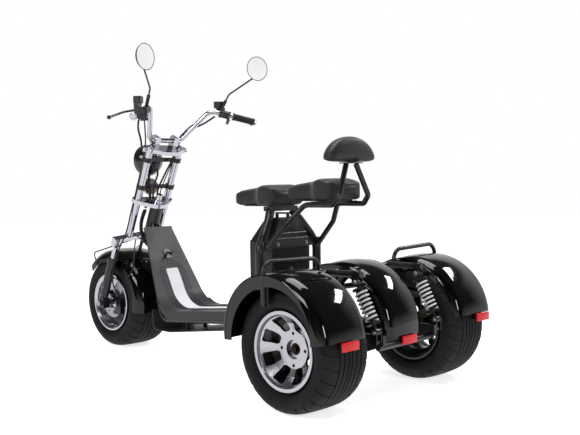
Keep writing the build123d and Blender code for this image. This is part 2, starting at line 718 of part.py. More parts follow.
# Bell of two tubes that straddles the battery and carries the saddles
seat_plate_low = 687
cross_plate_y = -387
seat_points = [(62, -445, 670), (88, -430, 631), (132, -414, 571), (163, -406, 522), (163, -408, 251.3)]
with BuildPart() as seat_frame:
    for sign in (-1, 1):
        add(tube([(sign * x, aft(y), z) for x, y, z in seat_points], seat_tube, [50, 60, 50]))
    with BuildSketch(Plane(origin=(0, aft(-448), 668), x_dir=(1, 0, 0), z_dir=(0, 0, 1))):
        Rectangle(150, 46)
    extrude(amount=seat_plate_low - seat_gap - 668)
    with BuildSketch(Plane(origin=(0, aft(cross_plate_y), 540), x_dir=(1, 0, 0), z_dir=(0, -1, 0))):
        RectangleRounded(326, 32, 6)
    extrude(amount=8)
save(seat_frame, "seat_frame")

# Battery case with a carrying loop, and the controller box in front of it
with BuildPart() as battery_case:
    with BuildSketch(side_plane(-110)):
        with BuildLine():
            Polyline((aft(-515), 290), (aft(-515), 560), (aft(-480), 640), (aft(-395.3), 640), (aft(-395.3), 290),
                     (aft(-515), 290))
        make_face()
    extrude(amount=220)
    with BuildSketch(Plane(origin=(0, aft(-600), 0), x_dir=(1, 0, 0), z_dir=(0, -1, 0))):
        with BuildLine():
            Polyline((-108, 280), (-108, 545), (-56, 640), (56, 640), (108, 545), (108, 280), (-108, 280))
        make_face()
    extrude(amount=-300, mode=Mode.INTERSECT)
    with BuildSketch(side_plane(-6)):
        with Locations((aft(-440), 640)):
            Rectangle(70, 44)
            Rectangle(54, 30, mode=Mode.SUBTRACT)
        with Locations((aft(-440), 618)):
            Rectangle(80, 44, mode=Mode.SUBTRACT)
    extrude(amount=12)
save(battery_case, "battery_case")

with BuildPart() as controller_box:
    with BuildSketch(side_plane(-90)):
        with BuildLine() as outline:
            low = [(y, board_corner[1] + board_slope * (y - board_corner[0]) + 0.5) for y in (-605, -515.3)]
            Polyline((aft(-605), low[0][1]), (aft(-605), 548), (aft(-515.3), 548), (aft(-515.3), low[1][1]),
                     (aft(-605), low[0][1]))
        make_face()
    extrude(amount=180)
    fillet(controller_box.edges().filter_by(Axis.X).group_by(Axis.Z)[-1].sort_by(Axis.Y)[0], 24)
save(controller_box, "controller_box")

# Leg shield and footboard, one moulding bent at the toe, narrower towards the top
shield_way = Vector(board_corner[0] - shield_top[0], board_corner[1] - shield_top[1]).normalized()
floor_way = Vector(1, board_slope).normalized()


def board_line(lift, from_top, from_rear):
    """Side line of the board's top, raised by lift: its three points and its bend radius."""
    up_shield = Vector(-shield_way.Y, shield_way.X)
    up_floor = Vector(-floor_way.Y, floor_way.X)
    corner = Vector(*board_corner) + (up_shield + up_floor) * (lift / (1 + up_shield.dot(up_floor)))
    start = Vector(*shield_top) + shield_way * from_top + up_shield * lift
    end = Vector(board_rear, rear_z) - floor_way * from_rear + up_floor * lift
    return [(aft(v.X), v.Y) for v in (start, corner, end)], board_bend - lift


def board_band(low, high, from_top, from_rear):
    """Face between two such lines, in a plane across X."""
    low_line, low_bend = board_line(low, from_top, from_rear)
    high_line, high_bend = board_line(high, from_top, from_rear)
    with BuildSketch() as band:
        with BuildLine():
            FilletPolyline(*low_line, radius=low_bend)
            FilletPolyline(*high_line, radius=high_bend)
            Line(low_line[0], high_line[0])
            Line(low_line[-1], high_line[-1])
        make_face()
    return band.sketch


rear_z = board_corner[1] + board_slope * (board_rear - board_corner[0])
strip_half = 34
strip_thick = 1.5
strip_start = 214
strip_end = 100
with BuildPart() as leg_shield:
    with BuildSketch(side_plane(-board_half)):
        add(board_band(-board_thick, 0, 0, 0))
    extrude(amount=2 * board_half)
    with BuildSketch(Plane(origin=(0, aft(shield_top[0]) - 50, 0), x_dir=(1, 0, 0), z_dir=(0, -1, 0))):
        with BuildLine():
            Polyline((shield_top_half, shield_top[1] + 20), (shield_top_half, shield_top[1] - 20),
                     (shield_low_half, board_corner[1] + 10), (board_half, board_corner[1] - 40),
                     (board_half + 60, board_corner[1] - 40), (board_half + 60, shield_top[1] + 20),
                     (shield_top_half, shield_top[1] + 20))
        make_face()
        mirror(about=Plane.YZ)
    extrude(amount=-(board_corner[0] - shield_top[0]) - 50, mode=Mode.SUBTRACT)
    with BuildSketch(side_plane(-strip_half - seat_gap)):
        add(board_band(-strip_thick - seat_gap, 1, strip_start - seat_gap, strip_end - seat_gap))
    extrude(amount=2 * (strip_half + seat_gap), mode=Mode.SUBTRACT)
save(leg_shield, "leg_shield")

# Belly tray under the board
belly_half = 118
with BuildPart() as belly_tray:
    with BuildSketch(side_plane(-belly_half)):
        with BuildLine():
            FilletPolyline((aft(-1174), 212), (aft(-1168), 122), (aft(-1040), 122), (aft(-540), 186),
                           (aft(-540), 198), radius=[30, 60, 5])
            offset(amount=4, side=Side.LEFT)
        make_face()
    extrude(amount=2 * belly_half)
    for y in cross_y[:2]:
        with BuildSketch(Plane(origin=(0, aft(y), cross_z(y) - cross_bar - seat_gap), x_dir=(1, 0, 0),
                               z_dir=(0, 0, -1))):
            with Locations((-50, 0), (50, 0)):
                Circle(9)
        extrude(amount=cross_z(y) - cross_bar - seat_gap - 124 - (y + 1040) * 0.128 * (y > -1040))
save(belly_tray, "belly_tray")

# Saddles: a block nose, a waist and wide hips, the top rising to the rear
saddle_length = 271
saddle_nose = 72
saddle_hip = 104
saddles = {"front_seat": (-665, 690.3), "rear_seat": (-359, 711.3)}
for saddle_name, (nose_y, base_z) in saddles.items():
    with BuildPart() as saddle:
        with BuildSketch(Plane(origin=(0, aft(nose_y), base_z), x_dir=(1, 0, 0), z_dir=(0, 0, 1))):
            with BuildLine():
                Polyline((-saddle_nose, 0), (saddle_nose, 0), (saddle_nose - 3, 130), (saddle_hip, 185),
                         (saddle_hip - 8, saddle_length), (8 - saddle_hip, saddle_length), (-saddle_hip, 185),
                         (3 - saddle_nose, 130), (-saddle_nose, 0))
            make_face()
        extrude(amount=85)
        with BuildSketch(side_plane(-150)):
            with BuildLine():
                Polyline((aft(nose_y), base_z), (aft(nose_y), base_z + 50), (aft(nose_y + 30), base_z + 56),
                         (aft(nose_y + 215), base_z + 81), (aft(nose_y + saddle_length), base_z + 70),
                         (aft(nose_y + saddle_length), base_z), (aft(nose_y), base_z))
            make_face()
        extrude(amount=300, mode=Mode.INTERSECT)
        fillet(saddle.edges().filter_by(Axis.Z), 22)
    save(saddle, saddle_name)

# Half-round backrest pad on its pair of bent tubes
pad_half = 132
pad_height = 100
pad_thick = 66
pad_low = 853
pad_y = -80
with BuildPart() as backrest_pad:
    with BuildSketch(Plane(origin=(0, aft(pad_y), pad_low), x_dir=(1, 0, 0), z_dir=(0, -1, 0))):
        Ellipse(pad_half, pad_height)
        with Locations((0, -pad_height)):
            Rectangle(2 * pad_half, 2 * pad_height, mode=Mode.SUBTRACT)
    extrude(amount=pad_thick / 2, both=True)
    fillet(backrest_pad.edges().filter_by(GeomType.LINE, reverse=True), 14)
save(backrest_pad, "backrest_pad")

under_seat_z = 696
tail_points = [(28, -72, pad_low - 6), (84, -60, 728), (90, -88, under_seat_z), (94, -225, under_seat_z),
               (134, -285, 623), (149, -379, 532)]
with BuildPart() as backrest_frame:
    for sign in (-1, 1):
        add(tube([(sign * x, aft(y), z) for x, y, z in tail_points], back_tube, [22, 16, 40, 40]))
    with BuildSketch(Plane(origin=(0, aft(-160), under_seat_z + 4), x_dir=(1, 0, 0), z_dir=(0, 0, 1))):
        Rectangle(2 * 94, 70)
    extrude(amount=8)
    with BuildSketch(Plane(origin=(0, aft(cross_plate_y) + seat_gap, 536), x_dir=(1, 0, 0), z_dir=(0, 1, 0))):
        with Locations((-149, 0), (149, 0)):
            RectangleRounded(28, 40, 6)
    extrude(amount=6)
    with BuildSketch(Plane(origin=(0, aft(-72), pad_low - seat_gap - 4), x_dir=(1, 0, 0), z_dir=(0, 0, 1))):
        Rectangle(90, 40)
    extrude(amount=4)
save(backrest_frame, "backrest_frame")

# Rear axle: housing tubes, reduction case and the motor ahead of it
axle_tube = 22
plate_x = 262
with BuildPart() as rear_axle:
    with BuildSketch(wheel_plane(0, y_rear)):
        with BuildLine():
            Polyline((-plate_x, 0), (-plate_x, axle_tube), (-70, axle_tube), (-46, 62), (46, 62), (70, axle_tube),
                     (plate_x, axle_tube), (plate_x, 0), (-plate_x, 0))
        make_face()
    revolve(axis=Axis((0, y_rear, tyre_radius), (1, 0, 0)))
    stub_end = rear_wheel_x + rear_flange_half - face_recess - face_thick + 12
    add(rod((-stub_end, y_rear, tyre_radius), (stub_end, y_rear, tyre_radius), stub_radius))
save(rear_axle, "rear_axle")

with BuildPart() as drive_motor:
    add(rod((0, aft(-62.5), tyre_radius), (0, aft(-190), tyre_radius), 66))
save(drive_motor, "drive_motor")

with BuildPart() as brake_backplates:
    for sign in (-1, 1):
        with BuildSketch(Plane(origin=(sign * (plate_x - 10), y_rear, tyre_radius), x_dir=(0, 1, 0),
                               z_dir=(sign, 0, 0))):
            Circle(62)
            Circle(axle_tube + slip_gap, mode=Mode.SUBTRACT)
        extrude(amount=8)
save(brake_backplates, "brake_backplates")

# Swing arm from its pivot tube back to the axle and the shock feet
pivot = (-330, 205)
arm_x = 150
shock_x = 176
shock_top = (98, 431)
shock_foot = (180, 265)
shock_rod = 7
shock_body = 15
shock_seat = 27
shock_seat_thick = 6
spring_radius = 21
spring_wire = 3.6
spring_turns = 7.5
rear_rail = 12
eye_half = 11
with BuildPart() as swing_arm:
    add(rod((-170, aft(pivot[0]), pivot[1]), (170, aft(pivot[0]), pivot[1]), 18))
    for sign in (-1, 1):
        add(rod((sign * arm_x, aft(pivot[0]), pivot[1]), (sign * arm_x, aft(-50), 180), 16))
        with BuildSketch(side_plane(sign * arm_x - 8)):
            with BuildLine():
                Polyline((aft(-60), 165), (aft(-30), 250), (aft(40), 250), (aft(195), 250), (aft(195), 215),
                         (aft(60), 165), (aft(-60), 165))
            make_face()
        extrude(amount=16)
        add(rod((sign * arm_x, aft(shock_foot[0]), 232), (sign * (shock_x + 15), aft(shock_foot[0]), 232), 9))
        for edge in (-eye_half - seat_gap - 3, eye_half + seat_gap):
            with BuildSketch(side_plane(sign * shock_x + edge)):
                with Locations((aft(shock_foot[0]), 250)):
                    RectangleRounded(26, 56, 8)
            extrude(amount=3)
    add(rod((-arm_x, aft(165), 205), (arm_x, aft(165), 205), 12))
    with BuildSketch(side_plane(-200)):
        with Locations((y_rear, tyre_radius)):
            Circle(axle_tube + slip_gap)
    extrude(amount=400, mode=Mode.SUBTRACT)
save(swing_arm, "swing_arm")

with BuildPart() as rear_shocks:
    for sign in (-1, 1):
        top = Vector(sign * shock_x, aft(shock_top[0]), shock_top[1])
        foot = Vector(sign * shock_x, aft(shock_foot[0]), shock_foot[1])
        way = (foot - top).normalized()
        add(rod(tuple(top + way * 4), tuple(foot - way * 4), shock_rod))
        add(rod(tuple(top + way * 24), tuple(top + way * 100), shock_body))
        for seat_start in (top + way * 22, foot - way * 34):
            add(rod(tuple(seat_start), tuple(seat_start + way * shock_seat_thick), shock_seat))
        for place in (top, foot):
            add(rod(tuple(place - Vector(eye_half, 0, 0)), tuple(place + Vector(eye_half, 0, 0)), 13))
save(rear_shocks, "rear_shocks")

# Coil springs about the shock bodies, between the two seats
with BuildPart() as shock_springs:
    for sign in (-1, 1):
        top = Vector(sign * shock_x, aft(shock_top[0]), shock_top[1])
        foot = Vector(sign * shock_x, aft(shock_foot[0]), shock_foot[1])
        way = (foot - top).normalized()
        spring_length = (foot - top).length - 22 - 34 - shock_seat_thick - 2 * (spring_wire + seat_gap)
        coil_start = top + way * (22 + shock_seat_thick + spring_wire + seat_gap)
        with BuildLine() as coil:
            Helix(pitch=spring_length / spring_turns, height=spring_length, radius=spring_radius,
                  center=coil_start, direction=way)
        with BuildSketch(Plane(origin=coil.line @ 0, z_dir=coil.line % 0)):
            Circle(spring_wire)
        sweep(path=coil.line, is_frenet=True)
save(shock_springs, "shock_springs")

# Rear rails from the seat posts to the shock tops, with the tube that carries the fenders
def crown_under(y, shift, lift):
    """Underside height of a fender's crown at y."""
    inner = fender_radius - fender_thick
    return tyre_radius + lift + math.sqrt(inner ** 2 - (y - shift) ** 2)


side_crown = crown_under(rail_y - 7, 0, side_lift) - seat_gap
centre_crown = crown_under(rail_y - 7, centre_fender_shift, centre_lift) - seat_gap
with BuildPart() as rear_subframe:
    for sign in (-1, 1):
        add(tube([(sign * shock_x, aft(-360), 340), (sign * shock_x, aft(-200), 368),
                  (sign * shock_x, aft(-60), rear_rail_z), (sign * shock_x, aft(118), rear_rail_z)],
                 rear_rail, [80, 80]))
        for edge in (-eye_half - seat_gap - 3, eye_half + seat_gap):
            with BuildSketch(side_plane(sign * shock_x + edge)):
                with Locations((aft(shock_top[0]), shock_top[1] + 14)):
                    RectangleRounded(28, 54, 8)
            extrude(amount=3)
        with BuildSketch(Plane(origin=(sign * 170, aft(-407) + seat_tube + seat_gap, 338), x_dir=(1, 0, 0), z_dir=(0, 1, 0))):
            Rectangle(44, 40)
        extrude(amount=30)
    carrier_end = rear_wheel_x + rail_half - rail_radius + 4
    add(rod((-carrier_end, aft(rail_y), rear_rail_z), (carrier_end, aft(rail_y), rear_rail_z), carrier_radius))
    for x, crown in ((-rear_wheel_x, side_crown), (0, centre_crown), (rear_wheel_x, side_crown)):
        with BuildSketch(Plane(origin=(x, aft(rail_y), rear_rail_z), x_dir=(1, 0, 0), z_dir=(0, 0, 1))):
            Rectangle(34, 14)
        extrude(amount=crown - rear_rail_z)
save(rear_subframe, "rear_subframe")

# Steel base plates under the saddles
with BuildPart() as seat_plates:
    for nose_y, top_z in ((-665, 690), (-359, 711)):
        with BuildSketch(Plane(origin=(0, aft(nose_y + 150), top_z - 2.7), x_dir=(1, 0, 0), z_dir=(0, 0, 1))):
            RectangleRounded(120, 200, 20)
        extrude(amount=2.7)
save(seat_plates, "seat_plates")

# Silver grip strip let into the board, flush with it
with BuildPart() as grip_strip:
    with BuildSketch(side_plane(-strip_half)):
        add(board_band(-strip_thick, 0, strip_start, strip_end))
    extrude(amount=2 * strip_half)
save(grip_strip, "grip_strip")

# Bag hook on the shield
hook_z = 457
hook_y = shield_top[0] + (shield_top[1] - hook_z) * (board_corner[0] - shield_top[0]) / (shield_top[1] - board_corner[1])
hook_out = Vector(0, -shield_way.Y, shield_way.X)
hook_down = Vector(0, shield_way.X, shield_way.Y)
with BuildPart() as bag_hook:
    base = Vector(0, aft(hook_y), hook_z) + hook_out * seat_gap
    with BuildSketch(Plane(origin=base, x_dir=(1, 0, 0), z_dir=hook_out)):
        RectangleRounded(34, 46, 8)
    extrude(amount=4)
    tip = [base + hook_out * out + hook_down * down for out, down in ((3, -6), (20, 4), (30, 22), (40, 4))]
    add(tube([tuple(v) for v in tip], 4.5, [9, 8]))
save(bag_hook, "bag_hook")

# Post and thin stays between the bridge and the front fender
stay_wire = 3
stay_post = 8
crown_s = math.sqrt(front_fender_radius ** 2 - (fork_ahead + fork_offset) ** 2) + seat_gap
with BuildPart() as fender_stays:
    with BuildSketch(steer_plane(crown_s, 0, fork_ahead)):
        Circle(stay_post)
    extrude(amount=bridge_arch - seat_gap - crown_s)
    with BuildSketch(steer_plane(bridge_arch - seat_gap - 4, 0, fork_ahead)):
        Rectangle(90, 26)
    extrude(amount=4)
    edge = front_fender_half + stay_wire + seat_gap
    for sign in (-1, 1):
        for angle in (38, 116):
            out = Vector(0, math.cos(math.radians(angle)), math.sin(math.radians(angle)))
            on_skirt = Vector(sign * edge, y_front, tyre_radius) + out * (front_fender_radius - 54)
            over = Vector(sign * edge, y_front, tyre_radius) + out * (front_fender_radius + 6)
            start = steer_at(sign * 42, fork_ahead, bridge_arch - 5)
            add(tube([tuple(start), tuple(over), tuple(on_skirt)], stay_wire, [14]))
save(fender_stays, "fender_stays")
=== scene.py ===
# Electric trike with fat tyres, two saddles, a backrest and a chrome raked fork, dressed
# over its CAD frame. Lengths are metres: +X at the rider's left, +Y to the rear, +Z up.
import math

import bmesh
import bpy
from mathutils import Matrix, Vector


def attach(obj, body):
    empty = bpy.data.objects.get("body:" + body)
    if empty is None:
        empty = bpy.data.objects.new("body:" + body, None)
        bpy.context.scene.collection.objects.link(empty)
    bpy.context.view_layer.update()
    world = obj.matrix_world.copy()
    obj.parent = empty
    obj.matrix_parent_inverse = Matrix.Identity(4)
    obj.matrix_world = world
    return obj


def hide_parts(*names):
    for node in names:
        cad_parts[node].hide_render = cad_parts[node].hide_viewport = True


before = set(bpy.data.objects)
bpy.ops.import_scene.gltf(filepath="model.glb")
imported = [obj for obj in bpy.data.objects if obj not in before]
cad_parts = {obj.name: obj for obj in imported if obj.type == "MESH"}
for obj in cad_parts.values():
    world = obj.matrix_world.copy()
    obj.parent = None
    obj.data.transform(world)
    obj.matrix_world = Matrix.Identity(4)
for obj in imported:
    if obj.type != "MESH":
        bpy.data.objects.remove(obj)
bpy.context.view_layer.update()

# Camera where the photographer stood, behind the trike on its left and at saddle height.
# The rear axle's place in the plan is the one that all the lengths along Y start from.
rear_axle_y = 0.74335
photo_width = 580
focal_pixels = 870.63
sensor = 36
yaw, pitch, roll = (math.radians(v) for v in (134.52, 2.41, -1.02))
away = Vector((math.sin(yaw) * math.cos(pitch), -math.cos(yaw) * math.cos(pitch), math.sin(pitch)))
level = Vector((math.cos(yaw), math.sin(yaw), 0))
upward = away.cross(level)
across = level * math.cos(roll) + upward * math.sin(roll)
upright = upward * math.cos(roll) - level * math.sin(roll)
camera_data = bpy.data.cameras.new("camera")
camera_data.sensor_width = sensor
camera_data.lens = focal_pixels * sensor / photo_width
camera_data.clip_start = 0.05
camera = bpy.data.objects.new("camera", camera_data)
camera.matrix_world = (Matrix.Translation((2.48787, 2.04935 + rear_axle_y, 0.78772))
                       @ Matrix((across, upright, away)).transposed().to_4x4())
bpy.context.scene.collection.objects.link(camera)
bpy.context.scene.camera = camera
bpy.context.scene.view_settings.view_transform = "Standard"


# Studio: white paper under and round the trike, and soft boxes above it.
# The paper is white to the camera, and the boxes draw the streaks on the black mouldings.
def linear(code):
    """An sRGB hex colour in the linear values that sockets take."""
    parts = [int(code[i:i + 2], 16) / 255 for i in (0, 2, 4)]
    return tuple(c / 12.92 if c <= 0.04045 else ((c + 0.055) / 1.055) ** 2.4 for c in parts) + (1,)


def add(tree, kind, links=None, **settings):
    """Adds a shader node, sets its settings, and fills its sockets or links them."""
    made = tree.nodes.new("ShaderNode" + kind)
    for name, value in settings.items():
        setattr(made, name, value)
    for socket, value in (links or {}).items():
        if isinstance(value, bpy.types.NodeSocket):
            tree.links.new(value, made.inputs[socket])
        else:
            made.inputs[socket].default_value = value
    return made


# Uncoated paper: matt, lifted to white for the camera, and an even white in the chrome.
paper_glow = 0.74
paper = bpy.data.materials.new("White studio paper")
paper.use_nodes = True
tree = paper.node_tree
tree.nodes["Principled BSDF"].inputs["Base Color"].default_value = linear("F4F4F6")
tree.nodes["Principled BSDF"].inputs["Roughness"].default_value = 0.9
seen = add(tree, "LightPath")
glow_strength = add(tree, "Math", {0: seen.outputs["Is Camera Ray"], 1: paper_glow},
                    operation="MULTIPLY")
glow = add(tree, "Emission", {"Strength": glow_strength.outputs[0]})
both = add(tree, "AddShader", {0: tree.nodes["Principled BSDF"].outputs[0], 1: glow.outputs[0]})
in_chrome = add(tree, "Emission", {"Strength": 1.0})
shown = add(tree, "MixShader", {0: seen.outputs["Is Glossy Ray"], 1: both.outputs[0],
                                2: in_chrome.outputs[0]})
tree.links.new(shown.outputs[0], tree.nodes["Material Output"].inputs["Surface"])

bm = bmesh.new()
bmesh.ops.create_grid(bm, x_segments=1, y_segments=1, size=14)
floor_mesh = bpy.data.meshes.new("studio_floor")
bm.to_mesh(floor_mesh)
bm.free()
floor = bpy.data.objects.new("studio_floor", floor_mesh)
floor_mesh.materials.append(paper)
bpy.context.scene.collection.objects.link(floor)

# The room that the gloss mirrors: bright along the floor and on the wall across from the camera,
# and dark in a ring of black flags round the camera, which give the chrome its edges. The light
# that it throws on matt surfaces is even, and to the camera it is white.
room_light, skirting_light, ceiling_light, wall_light, flag_light = 0.4, 0.62, 0.08, 0.8, 0.12
to_the_wall = (-0.82, -0.57, 0)
world = bpy.data.worlds.new("studio")
bpy.context.scene.world = world
world.use_nodes = True
tree = world.node_tree
tree.nodes.clear()
seen = add(tree, "LightPath")
heading = add(tree, "TexCoord").outputs["Generated"]
look = add(tree, "SeparateXYZ", {0: heading})
skirting = add(tree, "MapRange", {"Value": look.outputs["Z"], "From Min": 0.03, "From Max": 0.2,
                                  "To Min": skirting_light, "To Max": ceiling_light})
facing = add(tree, "VectorMath", {0: heading, 1: to_the_wall}, operation="DOT_PRODUCT")
far_side = add(tree, "MapRange", {"Value": facing.outputs["Value"], "From Min": 0.3,
                                  "From Max": 0.62, "To Min": 0.0, "To Max": wall_light})
wall = add(tree, "MapRange", {"Value": look.outputs["Z"], "From Min": 0.5, "From Max": 0.6,
                              "To Min": 1.0, "To Max": 0.0})
far_wall = add(tree, "Math", {0: far_side.outputs[0], 1: wall.outputs[0]}, operation="MULTIPLY")
inner_flag = add(tree, "MapRange", {"Value": facing.outputs["Value"], "From Min": -0.92,
                                    "From Max": -0.84, "To Min": 1.0, "To Max": flag_light})
outer_flag = add(tree, "MapRange", {"Value": facing.outputs["Value"], "From Min": -0.6,
                                    "From Max": -0.46, "To Min": flag_light, "To Max": 1.0})
flags = add(tree, "Math", {0: inner_flag.outputs[0], 1: outer_flag.outputs[0]}, operation="MAXIMUM")
flagged = add(tree, "Math", {0: skirting.outputs[0], 1: flags.outputs[0]}, operation="MULTIPLY")
room = add(tree, "Math", {0: flagged.outputs[0], 1: far_wall.outputs[0]}, operation="MAXIMUM")
camera_or_room = add(tree, "Mix", {"Factor": seen.outputs["Is Camera Ray"], "A": room.outputs[0],
                                   "B": 1.0})
looked_at = add(tree, "Math", {0: seen.outputs["Is Camera Ray"], 1: seen.outputs["Is Glossy Ray"]},
                operation="MAXIMUM")
strength = add(tree, "Mix", {"Factor": looked_at.outputs[0], "A": room_light,
                             "B": camera_or_room.outputs[0]})
sky = add(tree, "Background", {"Color": (1, 1, 1, 1), "Strength": strength.outputs[0]})
tree.links.new(sky.outputs[0], add(tree, "OutputWorld").inputs["Surface"])

# Each soft box has its place, the spot it is aimed at, its width and height, and its power.
soft_boxes = {
    "top box": ((0.0, 0.2, 3.2), (0, 0, 0.4), (2.6, 1.4), 60),
    "rear right box": ((-2.9, 1.5, 2.9), (0.1, 0.85, 0.4), (1.5, 0.32), 46),
    "left box": ((3.2, 0.2, 2.3), (0, 0.2, 0.5), (1.8, 0.9), 40),
    "rear box": ((1.4, 3.8, 1.3), (0, 0.6, 0.5), (0.35, 0.9), 16),
}
for name, (place, aim, size, power) in soft_boxes.items():
    lamp_data = bpy.data.lights.new(name, "AREA")
    lamp_data.shape = "RECTANGLE"
    lamp_data.size, lamp_data.size_y = size
    lamp_data.energy = power
    lamp = bpy.data.objects.new(name, lamp_data)
    lamp.location = place
    lamp.rotation_mode = "QUATERNION"
    lamp.rotation_quaternion = (Vector(aim) - Vector(place)).to_track_quat("-Z", "Y")
    bpy.context.scene.collection.objects.link(lamp)


# Painted steel: frame tubes, grab rails, swing arm, brackets and plates, welded and then powder
# coated in satin black, with a soft sheen and a slight orange peel.
def surface(name, colours, roughness, patch, grain, depth, sockets=None):
    """A Principled material. Its two colours and two roughnesses drift into each other over
    patches of patch mm, and its grain of grain mm stands depth mm proud."""
    made = bpy.data.materials.new(name)
    made.use_nodes = True
    tree = made.node_tree
    shader = tree.nodes["Principled BSDF"]
    place = add(tree, "TexCoord").outputs["Object"]
    drift = add(tree, "TexNoise", {"Vector": place, "Scale": 1000 / patch, "Detail": 3.0})
    tint = add(tree, "Mix", {0: drift.outputs[0], 6: linear(colours[0]), 7: linear(colours[1])},
               data_type="RGBA")
    dull = add(tree, "MapRange", {"Value": drift.outputs[0], "From Min": 0.3, "From Max": 0.7,
                                  "To Min": roughness[0], "To Max": roughness[1]})
    fine = add(tree, "TexNoise", {"Vector": place, "Scale": 1000 / grain, "Detail": 2.0})
    bump = add(tree, "Bump", {"Height": fine.outputs[0], "Distance": depth / 1000, "Strength": 0.6})
    tree.links.new(tint.outputs[2], shader.inputs["Base Color"])
    tree.links.new(dull.outputs[0], shader.inputs["Roughness"])
    tree.links.new(bump.outputs[0], shader.inputs["Normal"])
    for socket, value in (sockets or {}).items():
        shader.inputs[socket].default_value = value
    return made


def dress(material, *names):
    """Gives CAD nodes that keep their shape this material."""
    for name in names:
        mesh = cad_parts[name].data
        mesh.materials.clear()
        mesh.materials.append(material)


frame_paint = surface("Powder-coated steel, satin black", ("0B0B0D", "121215"), (0.3, 0.42), 60,
                      1.6, 0.03, {"Coat Weight": 0.25, "Coat Roughness": 0.25})
dress(frame_paint, "main_frame", "seat_frame", "backrest_frame", "left_grab_rail",
      "right_grab_rail", "swing_arm", "rear_subframe", "seat_plates", "lamp_bracket", "fork_legs",
      "fender_stays", "bag_hook")


# Tyres: low, wide road tyres of moulded black rubber, with six grooves round the tread, curved
# sipes over each shoulder and fine rings on the walls. One lathe shape per tyre.
rubber = surface("Tyre rubber, moulded and matt", ("0D0D0F", "151518"), (0.6, 0.76), 90, 2.2, 0.12,
                 {"Specular IOR Level": 0.3})


def finished(name, bm, body, slot, *materials, sharp=35, stands_for=()):
    """Makes a bmesh an object at the origin that rides on a body, smooth up to sharp degrees."""
    bmesh.ops.remove_doubles(bm, verts=bm.verts, dist=0.000002)
    bmesh.ops.recalc_face_normals(bm, faces=bm.faces)
    mesh = bpy.data.meshes.new(name)
    bm.to_mesh(mesh)
    bm.free()
    for material in materials:
        mesh.materials.append(material)
    mesh.polygons.foreach_set("use_smooth", [True] * len(mesh.polygons))
    mesh.set_sharp_from_angle(angle=math.radians(sharp))
    made = bpy.data.objects.new(name, mesh)
    bpy.context.scene.collection.objects.link(made)
    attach(made, body)
    if stands_for:
        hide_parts(*stands_for)
    return made


def lathe(bm, outline, origin, axis, out, steps=64, closed=True):
    """Spins an outline of (along, out) millimetres about an axis, and returns its faces."""
    spots = [bm.verts.new(origin + axis * (a / 1000) + out * (r / 1000)) for a, r in outline]
    pairs = list(zip(spots, spots[1:])) + ([(spots[-1], spots[0])] if closed else [])
    edges = [bm.edges.new(pair) for pair in pairs]
    before = set(bm.faces)
    bmesh.ops.spin(bm, geom=spots + edges, cent=origin, axis=axis, angle=math.tau, steps=steps,
                   use_merge=True)
    return [face for face in bm.faces if face not in before]


tyre_radius = 217
axle_height = tyre_radius / 1000
wheelbase = 1.521
half_track = 0.353
front_axle_y = rear_axle_y - wheelbase
sipe_from, sipe_to, sipe_inner, sipe_every = 0.0600, 0.1085, 0.19, 10
sipe_edge, sipe_depth = 0.0009, 0.0026
sweep_from, sweep_turn, sweep_power = 0.055, 0.09, 1.6
bead_front, bead_rear = 95, 85
# Half of the tread from its middle line out, as (across, out) in mm: three grooves and a round
# shoulder. The wall's rings and the bead follow, and then the hollow inside.
tread_half = [(0, 217), (5, 217), (6, 213.2), (10, 213.2), (11, 217), (27, 216.9), (28, 213),
              (32, 213), (33, 216.8), (50, 216.3), (51, 212.5), (54.5, 212.4), (55.5, 216),
              (68, 215), (80, 213), (90, 209.6), (98, 204.5), (104, 198), (108.6, 190),
              (111.3, 181), (112.4, 172)]
wall_rings = [(112.2, 166), (111.6, 165), (110.4, 158), (109.4, 157.2), (107.2, 151)]
columns = 280
for wheel, (x, y, bead) in {"front": (0, front_axle_y, bead_front),
                            "rear_left": (half_track, rear_axle_y, bead_rear),
                            "rear_right": (-half_track, rear_axle_y, bead_rear)}.items():
    side = (tread_half + wall_rings
            + [(bead + 6, 143), (bead + 2, 139.5), (bead, 127.3), (bead - 10, 127.3),
               (bead - 7, 140), (100, 160), (102, 175), (92, 199), (78, 205), (40, 207)])
    outline = [(-a, r) for a, r in reversed(side[1:])] + side
    centre = Vector((x, y, axle_height))
    bm = bmesh.new()
    lathe(bm, outline, centre, Vector((1, 0, 0)), Vector((0, 0, 1)), columns)
    bmesh.ops.remove_doubles(bm, verts=bm.verts, dist=0.000002)
    bmesh.ops.recalc_face_normals(bm, faces=bm.faces)
    sipes = []
    for face in bm.faces:
        spot = face.calc_center_median() - centre
        out = math.hypot(spot.y, spot.z)
        turn = math.atan2(spot.z, spot.y) % math.tau
        column = int(turn / math.tau * columns) + (0 if spot.x > 0 else sipe_every // 2)
        if sipe_from < abs(spot.x) < sipe_to and out > sipe_inner and column % sipe_every == 0:
            sipes.append(face)
    bmesh.ops.inset_region(bm, faces=sipes, thickness=sipe_edge, depth=-sipe_depth,
                           use_even_offset=True)
    for vert in bm.verts:
        spot = vert.co - centre
        sweep = max(0, abs(spot.x) - sweep_from) / sweep_from
        swing = Matrix.Rotation(sweep_turn * sweep ** sweep_power * (1 if spot.x > 0 else -1), 3,
                                "X")
        vert.co = centre + swing @ spot
    body = wheel + "_wheel"
    finished(wheel + "_tread", bm, body, "tyre_rubber", rubber, sharp=38,
             stands_for=[wheel + "_tyre"])


